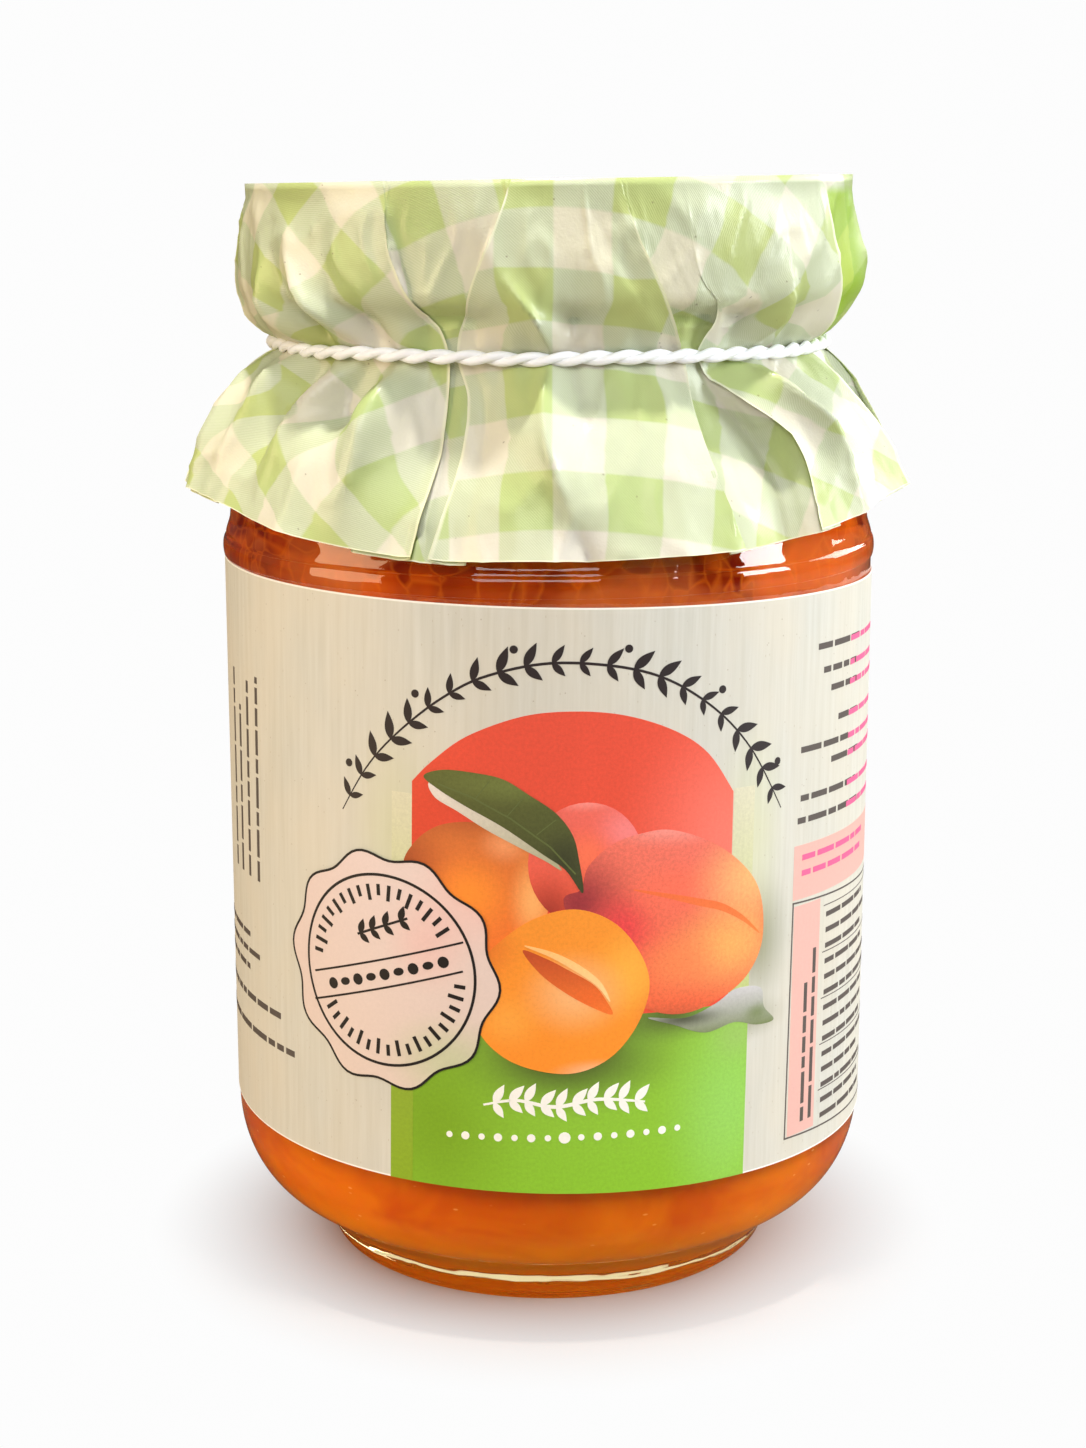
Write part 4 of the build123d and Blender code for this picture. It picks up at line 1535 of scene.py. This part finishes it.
# %% Leaves
under = shape(
    (-12.4, 12.4), (-11.9, 10.9), (-9.4, 9.6), (-6.6, 8.0), (-3.6, 6.5), (-0.6, 5.0),
    (1.2, 4.0), (-0.7, 6.2), (-4.8, 8.8), (-8.8, 11.0),
)
under_ink = ink("leaf_underside", (172, 172, 132), (232, 222, 214), 4, 12)
leaf = shape(
    (-13.1, 13.0), (-11.0, 13.8), (-7.6, 13.7), (-4.8, 13.2), (-2.2, 11.7), (0.5, 9.9),
    (2.2, 7.7), (2.9, 5.2), (3.4, 1.6), (1.6, 4.0), (-0.7, 5.6), (-4.8, 8.3), (-8.8, 10.3),
    (-11.6, 11.8),
)
leaf_ink = ink(
    "leaf_green", (66, 70, 36), (98, 106, 48), 2, 14,
    (((-4.0, 12.6), (9.0, 2.4), (116, 128, 62), 0.8), ((1.5, 5.0), (3.0, 4.0), (58, 62, 34), 0.8)),
    mottle=0.14,
)
grey_leaf = shape(
    (10.5, -11.9), (14.7, -12.3), (18.2, -11.2), (20.7, -10.0), (24.0, -10.4), (24.6, -12.6),
    (26.1, -14.3), (23.6, -14.4), (20.6, -13.6), (17.0, -14.2), (13.3, -12.9),
)
grey_ink = ink(
    "leaf_grey", (120, 134, 84), (206, 204, 206), -14.5, -10,
    (((14.5, -12.4), (6.0, 1.3), (70, 76, 50), 0.9), ((23.6, -13.0), (2.4, 1.4), (112, 130, 70), 0.7)),
)
veins = [
    stroke([(-11.5, 12.3), (-8.0, 11.2), (-4.0, 9.2), (0.0, 6.4), (2.6, 3.6)], 0.16),
    stroke([(-7.6, 11.1), (-6.2, 13.0)], 0.1),
    stroke([(-4.4, 9.4), (-2.6, 11.6)], 0.1),
    stroke([(-1.4, 7.6), (0.5, 9.2)], 0.1),
]
printed("leaf_under", [under], under_ink, 6)
printed("leaf", [leaf], leaf_ink, 7)
printed("leaf_veins", veins, plain_ink("vein_green", 98, 110, 56), 8)
printed("leaf_low", [grey_leaf], grey_ink, 4)

# %% [markdown]
# The garland follows the arch: a thin stem with pairs of leaves and berries, drawn in near-black.
# The white twig below the fruit is the same idea, with a dotted line under it.

# %% Garland and twig
GARLAND_LEAF = 2.9
GARLAND_EVERY = 3
GARLAND_STEP = 0.92
TWIG_STEP = 0.55
BERRY = 0.42
DOTS = 15
DOT_PITCH = 1.72
stem_line = [
    (-22.8, 8.2), (-19.8, 13.0), (-16.3, 16.9), (-11.4, 21.0), (-6.5, 23.7),
    (0.6, 25.2), (9.3, 24.2), (16.0, 20.8), (21.6, 15.6), (26.6, 8.0),
]
stem = evenly(curve(stem_line, steps=8), GARLAND_STEP)
garland = [stroke(stem, 0.28, 0.1)]
for i in range(2, len(stem) - 2, GARLAND_EVERY):
    along_u, along_v = stem[i + 1][0] - stem[i - 1][0], stem[i + 1][1] - stem[i - 1][1]
    heading = degrees(atan2(along_v, along_u))
    size = GARLAND_LEAF * (0.85 + 0.15 * cos(i * 1.7))
    garland.append(leaf_shape(stem[i], size, size * 0.36, heading + 52))
    garland.append(leaf_shape(stem[i], size * 0.85, size * 0.33, heading - 48))
for i in range(4, len(stem) - 4, GARLAND_EVERY * 4):
    berry_at = (stem[i][0] * 1.05, stem[i][1] + 1.9)
    garland.append(ellipse(berry_at, (BERRY, BERRY), steps=14))
printed("garland", garland, plain_ink("garland_black", 44, 34, 36), 2)

twig_line = [(-6.4, -21.3), (-3.0, -20.6), (1.0, -21.2), (5.5, -20.4), (10.8, -21.0)]
twig_stem = evenly(curve(twig_line, steps=8), TWIG_STEP)
twig = [stroke(twig_stem, 0.4, 0.2)]
for i in range(2, len(twig_stem) - 1, 3):
    lean = 48 if i % 2 else 62
    twig.append(leaf_shape(twig_stem[i], 2.3, 0.95, lean))
    twig.append(leaf_shape(twig_stem[i], 1.9, 0.85, -lean + 6))
for i in range(DOTS):
    size = 0.62 if i == DOTS // 2 else 0.34 + 0.1 * (i % 2)
    dot_at = (-10.0 + i * DOT_PITCH, -24.9 + 0.05 * i)
    twig.append(ellipse(dot_at, (size, size), steps=14))
printed("white_twig", twig, plain_ink("twig_white", 250, 250, 244), 3)

# %% [markdown]
# The round seal overlaps the picture like a sticker. It has a wavy rim, a circle line and two
# rules, and instead of words it carries rings of dashes and a row of dots. The picture under it
# shows through as faint patches.

# %% Seal
SEAL = (-17.6, -8.2)
SEAL_RADIUS = 12.3
SEAL_WAVE = 0.5
SEAL_WAVES = 10
RIM_POINTS = 120
RIM_PARTS = 4
CIRCLE_RADIUS = 10.2
RULE_SLOPE = 0.335
RULE_TURN = atan2(RULE_SLOPE, 1.0)
RULE_RISE = RULE_SLOPE * 9.0
DASHES = 44
DASH_INNER, DASH_OUTER = 7.5, 9.2
SEAL_DOTS = 9


def on_seal(u, v):
    """A point of the label, from one measured from the seal's middle."""
    return SEAL[0] + u, SEAL[1] + v


seal_rim = []
for step in range(RIM_POINTS):
    a = 2 * pi * step / RIM_POINTS
    reach = SEAL_RADIUS + SEAL_WAVE * cos(SEAL_WAVES * a + 0.6)
    seal_rim.append(on_seal(reach * cos(a), reach * sin(a)))
seal_ink = ink(
    "seal_pink", (226, 206, 196), (230, 210, 206), -20, 4,
    (
        ((-7.0, 1.0), (9.0, 8.0), (240, 198, 190), 0.9),
        ((-10.0, -17.0), (9.0, 6.0), (200, 204, 168), 0.95),
        ((-12.5, -4.5), (6.0, 6.5), (236, 192, 186), 0.7),
    ),
    mottle=0.03,
)
lines = []
for part in range(RIM_PARTS):
    first = part * RIM_POINTS // RIM_PARTS
    last = first + RIM_POINTS // RIM_PARTS + 1
    lines.append(stroke((seal_rim + seal_rim[:1])[first:last], 0.26))
lines += ring_strokes(SEAL, CIRCLE_RADIUS, 0.3)
for offset in (1.15, -1.95):
    rule = [on_seal(-9.2, offset - RULE_RISE), on_seal(8.9, offset + RULE_RISE)]
    lines.append(stroke(rule, 0.22))
for step in range(DASHES):
    a = 2 * pi * (step + 0.5) / DASHES
    if abs(sin(a - RULE_TURN)) < 0.30:
        continue
    inner = DASH_INNER + 0.5 * (step % 2)
    dash = [on_seal(r * cos(a), r * sin(a)) for r in (inner, DASH_OUTER)]
    lines.append(stroke(dash, 0.42))
for i in range(SEAL_DOTS):
    shift = (i - SEAL_DOTS // 2) * 1.75
    dot_at = on_seal(shift * cos(RULE_TURN) + 0.15, -0.4 + shift * sin(RULE_TURN))
    dot_size = (0.62, 0.42 if i % 2 else 0.62)
    lines.append(ellipse(dot_at, dot_size, degrees(RULE_TURN), steps=14))
sprig = curve([on_seal(-3.2, 3.4), on_seal(-0.5, 4.6), on_seal(2.8, 6.0)])
lines.append(stroke(sprig, 0.26))
for i in range(1, len(sprig) - 1, 3):
    lines.append(leaf_shape(sprig[i], 1.7, 0.8, 75))
    lines.append(leaf_shape(sprig[i], 1.5, 0.7, -35))
printed("seal", [seal_rim], seal_ink, 10)
printed("seal_lines", lines, plain_ink("seal_black", 26, 20, 22), 11)

# %% [markdown]
# The back of the label would carry the small print. Plain bars stand in for its lines, some black
# and some pink, with a pink band and a ruled table on the right, and upright columns on the left.

# %% Small print
random.seed(11)


def bars(left, right, top, bottom, pitch, tall, gap=0.8, upright=False):
    """Rows of short bars of uneven length, like lines of words too small to read."""
    found = []
    row = top
    while row - tall > bottom:
        at = left
        end = right - random.uniform(0, 0.3) * (right - left)
        while at < end:
            size = random.uniform(1.2, 4.2)
            stop = min(at + size, end)
            if stop - at > 0.5:
                if upright:
                    found.append(box(row - tall, row, at, stop))
                else:
                    found.append(box(at, stop, row - tall, row))
            at = stop + gap
        row -= pitch
    return found


black_ink = plain_ink("small_black", 92, 84, 80)
pink_ink = plain_ink("small_pink", 240, 100, 152)
band_ink = plain_ink("band_pink", 232, 182, 172)
ROWS = (
    # height, left end
    (25.2, 31.8), (22.6, 33.0), (20.5, 34.7), (17.1, 36.6),
    (14.6, 29.2), (12.7, 35.2), (9.4, 29.4), (7.0, 29.0),
)
right_black = []
right_pink = []
for row, start in ROWS:
    right_black += bars(start, 44, row, row - 0.7, 1.0, 0.66, 0.5)
    right_pink += bars(39.5, 52, row - 0.1, row - 0.8, 1.0, 0.6, 0.5)
right_black += bars(54, 80, 25.6, -28, 2.4, 0.66, 0.5)
right_pink += bars(30.0, 51, 2.9, -0.8, 1.7, 0.62, 0.5)
table = bars(35.2, 52, -4.4, -28.0, 1.75, 0.56, 0.45)
rules = [stroke([(28.7, -2.2), (28.5, -28.4)], 0.18), stroke([(28.6, -2.2), (54, -3.2)], 0.18)]
rules += [stroke([(28.5, -28.3), (54, -29.4)], 0.18), stroke([(54, -3.2), (54, -29.4)], 0.18)]
rules += [stroke([(34.6, h), (54, h - 0.4)], 0.1) for h in (-3.6, -8.8, -14.0, -19.2, -24.4)]
pink_column = bars(-27.0, -5.0, 33.2, 30.0, 1.5, 0.6, 0.45, upright=True)
left_columns = bars(-3.0, 22.0, -37.6, -46.4, 2.55, 0.6, 0.45, upright=True)
left_lines = bars(-52, -37, -9.5, -15.0, 1.9, 0.6, 0.5)
left_lines += bars(-54, -29.5, -16.6, -21.6, 3.6, 0.7, 0.5)
left_far = bars(-84, -56, 24, -26, 2.6, 0.66, 0.5)
all_black = right_black + table + rules + pink_column + left_columns + left_lines + left_far
pink_fields = [box(28.6, 54, -1.9, 4.0), box(28.9, 33.8, -28.2, -2.6)]
printed("pink_fields", pink_fields, band_ink, 1)
printed("print_black", all_black, black_ink, 2)
printed("print_pink", right_pink, pink_ink, 3)
